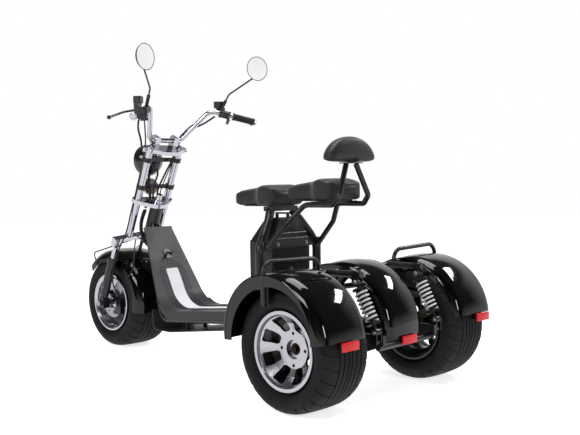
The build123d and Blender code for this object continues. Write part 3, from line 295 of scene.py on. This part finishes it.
# Wheels: cast alloy, turned bright on the lip and face, painted dark behind the windows.
# The front one is a polished dish with fine turned rings.
def turned(name, colours, roughness, centre, ring):
    """Bright metal turned about an axle at centre, with rings of ring mm drawn coarse enough to
    show in the render."""
    made = surface(name, colours, roughness, 70, 3, 0.01, {"Metallic": 1.0})
    tree = made.node_tree
    place = add(tree, "Mapping", {0: add(tree, "TexCoord").outputs["Object"],
                                  "Location": [-v for v in centre]})
    apart = add(tree, "SeparateXYZ", {0: place.outputs[0]})
    flat = add(tree, "CombineXYZ", {"Y": apart.outputs["Y"], "Z": apart.outputs["Z"]})
    far = add(tree, "VectorMath", {0: flat.outputs[0]}, operation="LENGTH")
    rings = add(tree, "TexNoise", {"W": far.outputs["Value"], "Scale": 1000 / ring, "Detail": 2.0},
                noise_dimensions="1D")
    lines = add(tree, "Bump", {"Height": rings.outputs[0], "Distance": 0.00002, "Strength": 0.5,
                               "Normal": tree.nodes["Bump"].outputs[0]})
    tree.links.new(lines.outputs[0], tree.nodes["Principled BSDF"].inputs["Normal"])
    return made


alloy = turned("Cast aluminium, turned bright", ("C2C2C9", "D4D4DA"), (0.2, 0.32),
               (0, rear_axle_y, axle_height), 1.2)
polished_dish = turned("Cast aluminium, polished", ("BEBEC6", "D2D2D8"), (0.14, 0.24),
                       (0, front_axle_y, axle_height), 1.0)
wheel_dark = surface("Cast aluminium, painted black inside", ("0B0B0D", "131316"), (0.3, 0.45), 60,
                     2.0, 0.03, {"Coat Weight": 0.3})
dress(alloy, "rear_left_rim", "rear_right_rim")
dress(polished_dish, "front_rim")
# Bright are the outward faces beyond face_from and the lip, in mm from the wheel's middle.
face_from, lip_from, lip_radius, outward = 30, 84, 112, 0.12
for node, side in {"rear_left_rim": 1, "rear_right_rim": -1}.items():
    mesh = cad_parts[node].data
    mesh.materials.append(wheel_dark)
    for face in mesh.polygons:
        along = side * (face.center.x - side * half_track) * 1000
        out = math.hypot(face.center.y - rear_axle_y, face.center.z - axle_height) * 1000
        turned_face = along > face_from and side * face.normal.x > outward
        face.material_index = 0 if turned_face or along > lip_from and out > lip_radius else 1


# Brake, axles and motor: ground or blackened steel, black anodised castings, grey cast iron, and
# zinc plate with the yellow tint of its chromate.
bare_steel = surface("Ground steel", ("A3A4A8", "B8B9BD"), (0.22, 0.36), 40, 1.2, 0.01,
                     {"Metallic": 1.0})
dark_steel = surface("Blackened steel", ("2A2A2D", "39393D"), (0.3, 0.5), 40, 1.2, 0.02,
                     {"Metallic": 1.0})
dress(bare_steel, "front_brake_disc", "front_axle")
dress(dark_steel, "rear_axle")
caliper_paint = surface("Anodised aluminium, black", ("0A0A0C", "111114"), (0.3, 0.42), 30, 1.0,
                        0.02, {"Coat Weight": 0.2})
dress(caliper_paint, "front_caliper", "brake_levers", "switch_pods")
cast_dark = surface("Cast iron, painted dark grey", ("1E1F22", "2C2D31"), (0.45, 0.62), 50, 3.5,
                    0.15)
dress(cast_dark, "drive_motor")
zinc = surface("Steel, yellow zinc plated", ("A8852F", "C9AE62"), (0.24, 0.4), 26, 1.2, 0.01,
               {"Metallic": 1.0})
dress(zinc, "brake_backplates")


# Fork and bars: steel tubes and castings under bright chrome plate, which mirrors the room
# nearly sharp and a little lilac. Lamp and mirrors have black shells, and the horn a copper tint.
chrome = surface("Chrome plate", ("CCCBD5", "D8D7E0"), (0.07, 0.13), 80, 2.5, 0.004,
                 {"Metallic": 1.0})
dress(chrome, "fork_bridge", "lower_yoke", "upper_yoke", "fork_tubes", "handlebar")
stem_black = surface("Painted wire, gloss black", ("101012", "1A1A1D"), (0.15, 0.28), 40, 1.5, 0.01,
                     {"Coat Weight": 0.5})
dress(stem_black, "mirror_stems", "mirror_heads", "headlight_shell")
horn_shell = surface("Pressed steel, copper tinted", ("8A6F5C", "A9A5A2"), (0.25, 0.4), 30, 1.2,
                     0.01, {"Metallic": 1.0})
dress(horn_shell, "horn")
# The mirror glass also glows white, a painted reflection of the white room round it.
mirror_glass_painted_glow = surface("Silvered glass", ("EDEFF2", "F4F5F7"), (0.015, 0.03), 90, 5, 0.0005,
                 {"Metallic": 1.0, "Emission Color": linear("FFFFFF"),
                  "Emission Strength": 0.6})
dress(mirror_glass_painted_glow, "mirror_glasses")
lens = surface("Clear polycarbonate, fluted", ("E8ECEF", "F4F6F8"), (0.03, 0.06), 60, 4, 0.05,
               {"Transmission Weight": 0.85, "IOR": 1.49})
dress(lens, "headlight_lens")


# Fasteners: nuts with washers, socket heads and tube caps of ground or blackened steel, and two
# large brass nuts on the rear axle's ends, darkened as painted shade for the hub's recess. Each set
# rides on the body whose pieces it holds.
def peg(bm, place, way, radius, height, sides=6, taper=0.93):
    """A short prism or disc that stands on place along way. Radius and height are in mm."""
    place = Vector(place) + way * (height / 2000)
    turn = way.to_track_quat("Z", "Y").to_matrix().to_4x4()
    bmesh.ops.create_cone(bm, cap_ends=True, segments=sides, radius1=radius / 1000,
                          radius2=radius * taper / 1000, depth=height / 1000,
                          matrix=Matrix.Translation(place) @ turn)


def nut(bm, place, way, radius, height):
    """A washer, a hexagon nut and the end of its bolt."""
    peg(bm, place, way, radius * 1.4, 1.2, 24, 0.97)
    peg(bm, Vector(place) + way * 0.0012, way, radius, height)
    peg(bm, Vector(place) + way * (0.0012 + height / 1000), way, radius * 0.5, 2, 16, 0.85)


rake = math.radians(24.3)
fork_offset = 0.032
steer_up = Vector((0, math.sin(rake), math.cos(rake)))
steer_back = Vector((0, math.cos(rake), -math.sin(rake)))
steer_foot = Vector((0, front_axle_y, axle_height)) + steer_back * fork_offset


def steer(x, back, up):
    """A place by the steering axis: x to the left, back from the axis and up along it, in mm."""
    return (steer_foot + Vector((x / 1000, 0, 0)) + steer_back * (back / 1000)
            + steer_up * (up / 1000))


def rear(x, y, z):
    """A place by millimetres from the rear axle's middle on the ground."""
    return Vector((x / 1000, rear_axle_y + y / 1000, z / 1000))


tube_x, tube_back = 83, -44
tube_top, clamp_top = 803, 850
clamp_x, bridge_x, leg_side = 52, 150, 165.6
bm = bmesh.new()
for sign in (-1, 1):
    side = Vector((sign, 0, 0))
    peg(bm, steer(sign * tube_x, tube_back, tube_top), steer_up, 16, 3, 32, 0.9)
    peg(bm, steer(sign * tube_x, tube_back, tube_top + 3), steer_up, 9, 6)
    for back in (-70, tube_back):
        peg(bm, steer(sign * clamp_x, back, clamp_top), steer_up, 4.6, 4.5, 20, 0.96)
    nut(bm, steer(sign * 113, -32, 792), (side * 0.52 + steer_back * 0.85).normalized(), 5.5, 5)
    nut(bm, steer(sign * 92, tube_back, 533), (side * 0.894 - steer_back * 0.447).normalized(),
        5.5, 5)
    for up in (314, 331):
        nut(bm, steer(sign * bridge_x, -27, up), steer_back, 4.6, 4)
    for up in (42, 84):
        nut(bm, steer(sign * leg_side, tube_back, up), side, 5.2, 4.5)
finished("fork_fasteners", bm, "fork", "steel", bare_steel, sharp=30)


def bolt_circle(bm, centre, way, reach, count, first, *sizes):
    """A circle of count pegs round an axle, reach metres out, turned on by first steps."""
    for turn in range(count):
        angle = math.tau * (turn + first) / count
        peg(bm, centre + Vector((0, math.cos(angle), math.sin(angle))) * reach, way, *sizes)


disc_side = 0.0962
bm = bmesh.new()
bolt_circle(bm, Vector((disc_side, front_axle_y, axle_height)), Vector((1, 0, 0)), 0.034, 6, 0,
            4, 3.5, 12, 0.8)
finished("disc_bolts", bm, "front_wheel", "steel", bare_steel, sharp=30)

# The nuts' brass is near black, painted shade for the recess round the hub.
brass_painted_shade = surface("Brass nut, darkened as painted shade", ("2C2521", "40352C"), (0.28, 0.42), 14, 1.0, 0.02,
                 {"Metallic": 1.0})
axle_end, wheel_face, hub_face = 388, 391, 383
bm = bmesh.new()
for sign in (-1, 1):
    nut(bm, rear(sign * axle_end, 0, tyre_radius), Vector((sign, 0, 0)), 15, 11)
finished("axle_nuts", bm, "chassis", "steel", brass_painted_shade, sharp=30)
for wheel, sign in {"rear_left": 1, "rear_right": -1}.items():
    bm = bmesh.new()
    side = Vector((sign, 0, 0))
    bolt_circle(bm, rear(sign * wheel_face, 0, tyre_radius), side, 0.055, 4, 0, 5.4, 4, 6, 0.9)
    bolt_circle(bm, rear(sign * hub_face, 0, tyre_radius), side, 0.024, 4, 0.5, 3, 3, 16, 0.8)
    finished(wheel + "_bolts", bm, wheel + "_wheel", "steel", dark_steel, sharp=30)

backward = Vector((0, 1, 0))
shock_outer, shock_inner = 190.6, 161.4
bm = bmesh.new()
for sign in (-1, 1):
    side = Vector((sign, 0, 0))
    nut(bm, rear(sign * 81, -387, 537), backward, 6, 4.5)
    for y, z in ((98, 431), (180, 265)):
        nut(bm, rear(sign * shock_outer, y, z), side, 8, 6)
        nut(bm, rear(sign * shock_inner, y, z), -side, 8, 6)
    nut(bm, rear(sign * 170, -330, 205), side, 9, 7)
finished("frame_fasteners", bm, "chassis", "steel", bare_steel, sharp=30)


# Cables: black hoses and sleeves from the levers and switches to the lamp, the caliper and the
# neck, and the loom in its spiral wrap that goes down beside the head tube. Each has its radius in
# mm and the stops of its run.
hose_black = surface("PVC sheath, black", ("09090B", "101013"), (0.35, 0.5), 30, 1.5, 0.02)


def wire(points, radius, resolution=3, cyclic=False):
    """A round wire through points, as a bmesh."""
    curve = bpy.data.curves.new("wire", "CURVE")
    curve.dimensions = "3D"
    curve.bevel_depth = radius
    curve.bevel_resolution = resolution
    curve.use_fill_caps = True
    line = curve.splines.new("POLY")
    line.points.add(len(points) - 1)
    for spot, place in zip(line.points, points):
        spot.co = (*place, 1)
    line.use_cyclic_u = cyclic
    holder = bpy.data.objects.new("wire", curve)
    mesh = bpy.data.meshes.new_from_object(holder)
    bm = bmesh.new()
    bm.from_mesh(mesh)
    bpy.data.objects.remove(holder)
    bpy.data.curves.remove(curve)
    bpy.data.meshes.remove(mesh)
    return bm


def along_curve(points, count):
    """Points spaced evenly along a smooth line through the given ones."""
    ends = [points[0] * 2 - points[1]] + points + [points[-1] * 2 - points[-2]]
    fine = []
    for a, b, c, d in zip(ends, ends[1:], ends[2:], ends[3:]):
        for step in range(24):
            t = step / 24
            fine.append(0.5 * (2 * b + (c - a) * t + (2 * a - 5 * b + 4 * c - d) * t ** 2
                               + (3 * b - a - 3 * c + d) * t ** 3))
    fine.append(points[-1])
    reach = [0]
    for a, b in zip(fine, fine[1:]):
        reach.append(reach[-1] + (b - a).length)
    even, at = [], 0
    for step in range(count + 1):
        target = reach[-1] * step / count
        while at < len(reach) - 2 and reach[at + 1] < target:
            at += 1
        share = (target - reach[at]) / max(reach[at + 1] - reach[at], 0.000001)
        even.append(fine[at].lerp(fine[at + 1], share))
    return even


def coil(path, radius, pitch):
    """A helix of radius mm about a path, one turn each pitch mm."""
    per_turn = 12
    length = sum((b - a).length for a, b in zip(path, path[1:])) * 1000
    turns = length / pitch
    count = int(turns * per_turn)
    spots = along_curve(path[::4] + [path[-1]], count)
    helix = []
    for step, (spot, ahead) in enumerate(zip(spots, spots[1:])):
        way = (ahead - spot).normalized()
        first = way.cross(Vector((0.3, 0.2, 0.93))).normalized()
        second = way.cross(first)
        angle = math.tau * turns * step / count
        helix.append(spot + (first * math.cos(angle) + second * math.sin(angle)) * (radius / 1000))
    return helix


cables = {
    "brake_hose": (3.2, [rear(196, -1092, 1122), rear(176, -1120, 1088), rear(132, -1175, 1040),
                         steer(108, -52, 800), steer(104, -46, 640), steer(105, -44, 480),
                         steer(128, -16, 380), steer(150, -18, 250), steer(142, -10, 130),
                         rear(104, -1470, 262)]),
    "left_switch_cable": (4.6, [rear(192, -1090, 1100), rear(180, -1149, 1078),
                                rear(150, -1201, 1037), rear(112, -1236, 990),
                                rear(80, -1266, 945), steer(34, -48, 700), steer(22, -62, 664)]),
    "right_brake_cable": (2.6, [rear(-196, -1092, 1122), rear(-172, -1122, 1090),
                                rear(-110, -1190, 1030), steer(-56, -26, 772),
                                steer(-40, -30, 680), steer(-26, -30, 600), steer(-20, -20, 548)]),
    "throttle_cable": (4.4, [rear(-196, -1072, 1096), rear(-160, -1116, 1062),
                             rear(-92, -1192, 1012), steer(-44, -24, 760), steer(-20, -26, 668),
                             steer(-6, -28, 600), steer(-8, -22, 548)]),
    "lamp_lead": (4.4, [steer(4, -56, 690), steer(18, -28, 670), steer(26, -24, 620),
                        steer(14, -24, 548)]),
    "neck_harness": (6.5, [rear(30, -1290, 830), rear(40, -1281, 795), rear(38, -1278, 745),
                           rear(38, -1280, 712), rear(45, -1305, 674)]),
}
for name, (radius, stops) in cables.items():
    finished(name, wire(along_curve(stops, 70), radius / 1000), "fork", "case_black", hose_black,
             sharp=60)

loom_radius, wrap_radius, wrap_pitch, wrap_wire = 0.007, 8, 6, 0.0018
loom_stops = [rear(45, -1309, 664), rear(50, -1333, 610), rear(50, -1334, 560),
              rear(46, -1308, 512), rear(36, -1268, 484)]
loom = along_curve(loom_stops, 40)
finished("loom", wire(loom, loom_radius), "chassis", "case_black", hose_black, sharp=60)
finished("loom_wrap", wire(coil(loom, wrap_radius, wrap_pitch), wrap_wire, 2), "chassis",
         "case_black", hose_black, sharp=60)


# Switches: moulded ABS buttons in the pods' rear faces, which look at the rider. Two red ones
# are in the right pod and two grey ones in the left.
def bar_end(sign):
    """The handlebar's last bend and its tip, at the left for 1 and at the right for -1."""
    return rear(sign * 170, -1078, 1121), rear(sign * 344, -963, 1068)


pod_inboard, pod_face = 0.123, 0.0165
button_red = surface("ABS button, red", ("A30D14", "BC1119"), (0.25, 0.35), 10, 1.0, 0.02)
button_grey = surface("ABS button, grey", ("8D8D93", "9E9EA5"), (0.3, 0.4), 10, 1.0, 0.02)
for name, sign, material, lifts in (("red_buttons", -1, button_red, (-9, -24)),
                                    ("grey_buttons", 1, button_grey, (-12, -26))):
    bend, tip = bar_end(sign)
    grip_way = (tip - bend).normalized()
    rider = Vector((0, 0, 1)).cross(grip_way).normalized() * sign
    bm = bmesh.new()
    for lift in lifts:
        spot = tip - grip_way * pod_inboard + rider * pod_face + Vector((0, 0, lift / 1000))
        peg(bm, spot, rider, 4.2, 4, 24, 0.85)
    finished(name, bm, "fork", "case_black", material, sharp=40)


# Grips: soft moulded rubber sleeves with thirteen rings and an inner collar, pushed over the bar,
# and a bright turned cap on each of the bar's ends.
grip_rubber = surface("Grip rubber, soft black", ("141416", "1B1B1E"), (0.55, 0.7), 30, 1.0, 0.05)
bar_radius, ring_low, ring_high, ring_pitch = 11.2, 14.6, 15.9, 6.8
sleeve = [(-104, bar_radius), (-104, 18), (-101, 18.4), (-98, 18), (-97, 15)]
for ring in range(13):
    start = -94 + ring * ring_pitch
    sleeve += [(start, ring_low), (start + 1, ring_high), (start + 4.8, ring_high),
               (start + 5.8, ring_low)]
sleeve += [(-3, 15.8), (0, 15.8), (0, bar_radius)]
end_cap = [(0.2, 0), (0.2, 15), (1.5, 16), (7, 16), (9.5, 14), (10.4, 9), (9.6, 8), (9.4, 0)]
for hand, sign in {"left": 1, "right": -1}.items():
    bend, tip = bar_end(sign)
    along = (tip - bend).normalized()
    out = along.cross(Vector((0, 0, 1))).normalized()
    bm = bmesh.new()
    lathe(bm, sleeve, tip, along, out, 48)
    finished(hand + "_grip_rubber", bm, "fork", "grip_rubber", grip_rubber,
             stands_for=["grips"] if sign > 0 else ())
    bm = bmesh.new()
    lathe(bm, end_cap, tip, along, out, 48, closed=False)
    finished(hand + "_bar_cap", bm, "fork", "chrome", chrome)


# Fenders: arched shells moulded in gloss black ABS, with a round corner, a slight crown and a
# rolled edge along the skirt. The gloss mirrors the soft boxes as hard white streaks.
gloss_black = surface("ABS moulding, gloss black", ("050506", "08080A"), (0.05, 0.1), 150, 6, 0.01,
                      {"Specular IOR Level": 0.33, "Coat Weight": 0.35, "Coat Roughness": 0.03})


def fender_side(half, radius, corner, low):
    """Half of a fender's section, from its skirt's low edge to its middle, as (x, out) in mm."""
    crown = 4
    spots = [(half, low + (radius - crown - corner - low) * share) for share in (0, 0.35, 0.7)]
    for step in range(10):
        angle = math.radians(10 * step)
        spots.append((half - corner + corner * math.cos(angle), radius - crown - corner
                      + corner * math.sin(angle)))
    for share in (0.8, 0.6, 0.4, 0.2, 0):
        spots.append(((half - corner) * share, radius - crown * share * share))
    return spots


def skin(bm, places):
    """Joins rings of places by quads, for a section that changes on its way, where a spin or an
    extrusion can't be used. Returns the rings of corners, whose ends are open."""
    rings = [[bm.verts.new(place) for place in ring] for ring in places]
    count = len(rings[0])
    for near, far in zip(rings, rings[1:]):
        for i in range(count):
            bm.faces.new((near[i], near[(i + 1) % count], far[(i + 1) % count], far[i]))
    return rings


def fender(name, node, body, centre, half, radius, corner, arc, skirt):
    """An arched shell with a rolled edge. Its skirt ends at the radius skirt(angle)."""
    steps, wall = 84, 3.5
    places = []
    for step in range(steps + 1):
        angle = math.radians(arc[0] + (arc[1] - arc[0]) * step / steps)
        low = skirt(angle)
        rolled_edge = [(half - wall, low + 0.5), (half - 1, low - 0.6), (half + 1.7, low + 0.8),
                       (half + 2.2, low + 3.2), (half + 1.2, low + 6)]
        side = rolled_edge + fender_side(half, radius, corner, low + 8)
        inner = fender_side(half - wall, radius - wall, corner - wall, low + 4)
        section = side + [(-x, r) for x, r in reversed(side[:-1])]
        section += [(-x, r) for x, r in inner] + [(x, r) for x, r in reversed(inner[:-1])]
        out = Vector((0, math.cos(angle), math.sin(angle)))
        places.append([centre + Vector((x / 1000, 0, 0)) + out * (r / 1000) for x, r in section])
    bm = bmesh.new()
    rings = skin(bm, places)
    shell = len(side) * 2 - 1
    for ring in (rings[0], rings[-1]):
        inside = list(reversed(ring[shell:]))
        share = (len(inside) - 1) / (shell - 1)
        for i in range(shell - 1):
            a, b = inside[round(i * share)], inside[round((i + 1) * share)]
            bm.faces.new([ring[i], ring[i + 1], b] + ([a] if a != b else []))
    finished(name, bm, body, "fender_black", gloss_black, sharp=40, stands_for=[node])


def crescent(angle):
    """The rear skirts end on a circle of its own, ahead of the fender's and above its middle."""
    ahead, above, circle, least = 21, 25, 203, 120
    toward = above * math.sin(angle) - ahead * math.cos(angle)
    return max(toward + math.sqrt(toward ** 2 - ahead ** 2 - above ** 2 + circle ** 2), least)


def level_skirt(angle):
    """The front skirt ends at one radius all the way."""
    return 194


for hand, sign in {"left": 1, "right": -1}.items():
    fender(hand + "_mudguard", hand + "_fender", "chassis", rear(sign * 378, -12, 242), 118, 245,
           46, (6, 181), crescent)
fender("centre_mudguard", "centre_fender", "chassis", rear(0, -62, 246), 104, 245, 46, (-4, 172),
       crescent)
fender("front_mudguard", "front_fender", "fork", rear(0, -1521, tyre_radius), 118, 256, 52,
       (-9, 132), level_skirt)


# Reflectors: blocks of moulded red acrylic with prisms behind, each screwed to a black tab at its
# fender's rear end. They glow a little red, a painted glow for the light that the prisms send back.
red_acrylic_painted_glow = surface("Acrylic, red with prisms behind", ("9C060C", "BC0C14"), (0.18, 0.3), 8, 2.5,
                    0.25, {"Emission Color": linear("E0101C"), "Emission Strength": 0.3})


def slab(bm, low, high, round_by=0.8):
    """A box between two corners in mm from the rear axle's middle, its edges rounded."""
    middle = (Vector(low) + Vector(high)) / 2
    size = Matrix.Diagonal([(b - a) / 1000 for a, b in zip(low, high)] + [1])
    made = bmesh.ops.create_cube(bm, size=1, matrix=Matrix.Translation(rear(*middle)) @ size)
    edges = {edge for vert in made["verts"] for edge in vert.link_edges}
    bmesh.ops.bevel(bm, geom=list(edges), offset=round_by / 1000, affect="EDGES", segments=2,
                    profile=0.5, material=-1)


# Half width, half height, and the light's thickness or the tab's length, in mm.
light_half, light_high, light_thick = 40, 15, 7
tab_half, tab_high, tab_long = 26, 9, 30
lights, tabs = bmesh.new(), bmesh.new()
for x, y, z in ((389, 243, 256), (0, 186, 217), (-389, 243, 256)):
    slab(lights, (x - light_half, y, z - light_high),
         (x + light_half, y + light_thick, z + light_high), 1.2)
    slab(tabs, (x - tab_half, y - tab_long, z - tab_high), (x + tab_half, y, z + tab_high), 1)
finished("rear_reflectors", lights, "chassis", "reflector_red", red_acrylic_painted_glow,
         stands_for=["reflectors"])


# Battery case: a black ABS moulding with a fine spark-eroded grain that takes the shine off. Its
# back has ribs, four small vents and a raised panel, its sides three ribs each, and two bright
# steel beads and a keyhole finish it. The beads' bright steel is painted highlight, for the light
# along the edges of the case's steps. All are in mm.
case_black = surface("ABS moulding, fine grain black", ("0F0F12", "17171B"), (0.36, 0.48), 60, 1.4,
                     0.06)
dress(case_black, "battery_case")
finished("reflector_tabs", tabs, "chassis", "case_black", case_black)

case_back, bead_back = -396, -390.8
bm = bmesh.new()
for column in range(19):
    x = -90 + column * 10
    slab(bm, (x - 2, case_back, 440), (x + 2, case_back + 2, 520), 0.5)
for column in range(4):
    slab(bm, (74 + column * 9, case_back, 415), (78 + column * 9, -390.5, 434), 0.8)
slab(bm, (-46, case_back, 590), (46, -393.2, 632), 1.2)
for z in (300, 345, 390):
    slab(bm, (106.5, -505, z), (109.2, -405, z + 6), 0.8)
    slab(bm, (-109.2, -505, z), (-106.5, -405, z + 6), 0.8)
finished("battery_ribs", bm, "chassis", "case_black", case_black)
# Two beads of bright steel, painted highlights for the light along the case's step edges, and the
# keyhole.
bm = bmesh.new()
for half, low in ((87, 578), (99, 557)):
    slab(bm, (-half, case_back, low), (half, bead_back, low + 4.5), 1.2)
peg(bm, rear(-1, -395.3, 438), backward, 9, 3, 32, 0.9)
peg(bm, rear(-1, -392.3, 438), backward, 6, 2, 32, 0.9)
finished("battery_highlight_beads_and_keyhole", bm, "chassis", "steel", bare_steel)


# Controller box: a shallow black moulding in front of the battery, with three cooling ribs on
# each side. It stands on the foot board.
rib_low, rib_high, rib_wide, rib_pitch = 300, 540, 3, 8
bm = bmesh.new()
slab(bm, (-88, -546, 266), (88, -515.4, 553), 9)
for column in range(3):
    y = -540 + column * rib_pitch
    slab(bm, (86, y, rib_low), (89.6, y + rib_wide, rib_high), 0.7)
    slab(bm, (-89.6, y, rib_low), (-86, y + rib_wide, rib_high), 0.7)
finished("controller_cover", bm, "chassis", "case_black", case_black,
         stands_for=["controller_box"])


# Leg shield and belly tray: two dark grey mouldings with a leather-like grain, and the silver
# grip strip let into the shield and its floor.
board_grey = surface("Polypropylene, dark grey grain", ("28282C", "323236"), (0.38, 0.5), 120, 1.8,
                     0.06)
dress(board_grey, "leg_shield", "belly_tray")
strip_silver = surface("Grip strip, silver grey", ("D9DADF", "E6E7EB"), (0.5, 0.62), 30, 2.0, 0.15)
dress(strip_silver, "grip_strip")


# Board grooves: three moulded grooves that run round the strip on the shield and along the floor,
# drawn as thin lines in a grey darker than the board, painted shade for their hollows, and the
# board's turned-down side. The board is two flat runs joined by a bend, and its places are (y, z)
# in mm from the rear axle.
groove_painted_shade = surface("Polypropylene, groove", ("161618", "1E1E21"), (0.45, 0.55), 40, 1.8, 0.04)
shield_top, corner, board_end = (Vector((-1272, 583)), Vector((-1081.5, 216.7)),
                                 Vector((-520, 268.4)))
shield_way = (corner - shield_top).normalized()
floor_way = (board_end - corner).normalized()
bend_radius, bend_steps = 130, 12
half_turn = (shield_way.angle(floor_way)) / 2
bend_start = corner - shield_way * bend_radius * math.tan(half_turn)
bend_centre = bend_start + Vector((-shield_way.y, shield_way.x)) * bend_radius


def board_points(half, from_top):
    """A side line of a groove from the shield's ring down, round the bend and along the floor."""
    spots = [shield_top + shield_way * from_top]
    first = (bend_start - bend_centre).normalized()
    for step in range(bend_steps + 1):
        angle = 2 * half_turn * step / bend_steps
        way = Vector((first.x * math.cos(angle) - first.y * math.sin(angle),
                      first.x * math.sin(angle) + first.y * math.cos(angle)))
        spots.append(bend_centre + bend_radius * way)
    spots.append(board_end - floor_way * 6)
    return [rear(half, spot.x, spot.y) for spot in spots]


ring_top, groove_radius, arc_steps = 248, 0.0016, 24
grooves = bmesh.new()
for half in (46, 59, 72):
    arc = []
    for step in range(1, arc_steps):
        angle = math.pi * step / arc_steps
        spot = shield_top + shield_way * (ring_top - half * math.sin(angle))
        arc.append(rear(half * math.cos(angle), spot.x, spot.y))
    line = list(reversed(board_points(half, ring_top))) + arc + board_points(-half, ring_top)
    ring = wire(line, groove_radius, 2)
    mesh = bpy.data.meshes.new("ring")
    ring.to_mesh(mesh)
    ring.free()
    grooves.from_mesh(mesh)
    bpy.data.meshes.remove(mesh)
finished("board_grooves", grooves, "chassis", "shield_grey", groove_painted_shade, sharp=60)

# The turned-down side starts in the middle of the bend, side_first deep, and deepens by each of
# the bend's steps to side_deep. Its sizes are metres, but side_x is mm.
side_x, side_wall, side_top = 149.5, 0.004, 0.0055
side_first, side_more, side_deep = 0.009, 0.007, 0.036
bm = bmesh.new()
for sign in (-1, 1):
    edge = board_points(sign * side_x, ring_top)[bend_steps // 2 + 1:]
    inward = Vector((-sign * side_wall, 0, 0))
    places = []
    for i, spot in enumerate(edge):
        way = (edge[min(i + 1, len(edge) - 1)] - edge[max(i - 1, 0)]).normalized()
        down = way.cross(Vector((-1, 0, 0)))
        if down.z > 0:
            down = -down
        near = spot + down * side_top
        far = spot + down * min(side_deep, side_first + side_more * i)
        places.append([near, far, far + inward, near + inward])
    rings = skin(bm, places)
    bm.faces.new(rings[0])
    bm.faces.new(rings[-1])
finished("board_flange", bm, "chassis", "shield_grey", board_grey, sharp=30)


# Shocks: black painted dampers inside wound springs with a pale coat, bolted from the swing arm
# to the rear rails.
spring_white = surface("Spring steel, white coat", ("C9CACD", "DADBDE"), (0.3, 0.4), 25, 1.0, 0.02)
dress(spring_white, "shock_springs")
dress(frame_paint, "rear_shocks")


# Saddles and backrest: foam pads under a soft black cover, fixed on their plates. The cover is
# leatherette with a fine pressed grain and a dull sheen. Each pad starts from its CAD block and is
# remeshed, rounded, blown up by cloth pressure and subdivided.
cover = surface("Leatherette, soft black", ("141417", "1D1D21"), (0.42, 0.55), 60, 1.7, 0.1,
                {"Sheen Weight": 0.15, "Specular IOR Level": 0.4})
voxel, shrink, cap, pressure, cloth_frames = 0.006, 0.003, 0.006, 4, 20


def box_of(mesh):
    """The low and the high corner of a mesh's box."""
    return [Vector([pick(v.co[i] for v in mesh.vertices) for i in range(3)]) for pick in (min, max)]


def cushion(name, node, rounds):
    """A CAD block's copy, remeshed, its edges rounded by rounds of smoothing, fitted to its box
    less shrink, and blown up by cloth pressure, no point further than cap."""
    bm = bmesh.new()
    bm.from_mesh(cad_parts[node].data)
    bmesh.ops.remove_doubles(bm, verts=bm.verts, dist=0.00002)
    bmesh.ops.recalc_face_normals(bm, faces=bm.faces)
    mesh = bpy.data.meshes.new(name)
    bm.to_mesh(mesh)
    bm.free()
    made = bpy.data.objects.new(name, mesh)
    bpy.context.scene.collection.objects.link(made)
    bpy.context.view_layer.objects.active = made
    remesh = made.modifiers.new("remesh", "REMESH")
    remesh.mode = "VOXEL"
    remesh.voxel_size = voxel
    bpy.ops.object.modifier_apply(modifier="remesh")
    low, high = box_of(made.data)
    smooth = made.modifiers.new("smooth", "SMOOTH")
    smooth.factor = 0.5
    smooth.iterations = rounds
    bpy.ops.object.modifier_apply(modifier="smooth")
    least, most = box_of(made.data)
    for vert in made.data.vertices:
        share = [(vert.co[i] - least[i]) / (most[i] - least[i]) for i in range(3)]
        vert.co = [low[i] + shrink + share[i] * (high[i] - low[i] - 2 * shrink) for i in range(3)]
    start = [v.co.copy() for v in made.data.vertices]
    cloth = made.modifiers.new("cloth", "CLOTH")
    cloth.settings.use_pressure = True
    cloth.settings.uniform_pressure_force = pressure
    cloth.settings.effector_weights.gravity = 0
    scene = bpy.context.scene
    scene.frame_start, scene.frame_end = 1, cloth_frames
    for step in range(1, cloth_frames + 1):
        scene.frame_set(step)
    bpy.ops.object.modifier_apply(modifier="cloth")
    scene.frame_set(1)
    for vert, place in zip(made.data.vertices, start):
        move = vert.co - place
        if move.length > cap:
            vert.co = place + move.normalized() * cap
        vert.co.z = max(vert.co.z, low.z)
    return made


for name, node, rounds in (("front_saddle", "front_seat", 14), ("rear_saddle", "rear_seat", 14),
                           ("backrest_cushion", "backrest_pad", 70)):
    pad = cushion(name, node, rounds)
    pad.data.materials.clear()
    pad.data.materials.append(cover)
    rounding = pad.modifiers.new("rounding", "SUBSURF")
    rounding.levels = rounding.render_levels = 1
    bpy.context.view_layer.objects.active = pad
    bpy.ops.object.modifier_apply(modifier="rounding")
    pad.data.polygons.foreach_set("use_smooth", [True] * len(pad.data.polygons))
    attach(pad, "chassis")
    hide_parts(node)
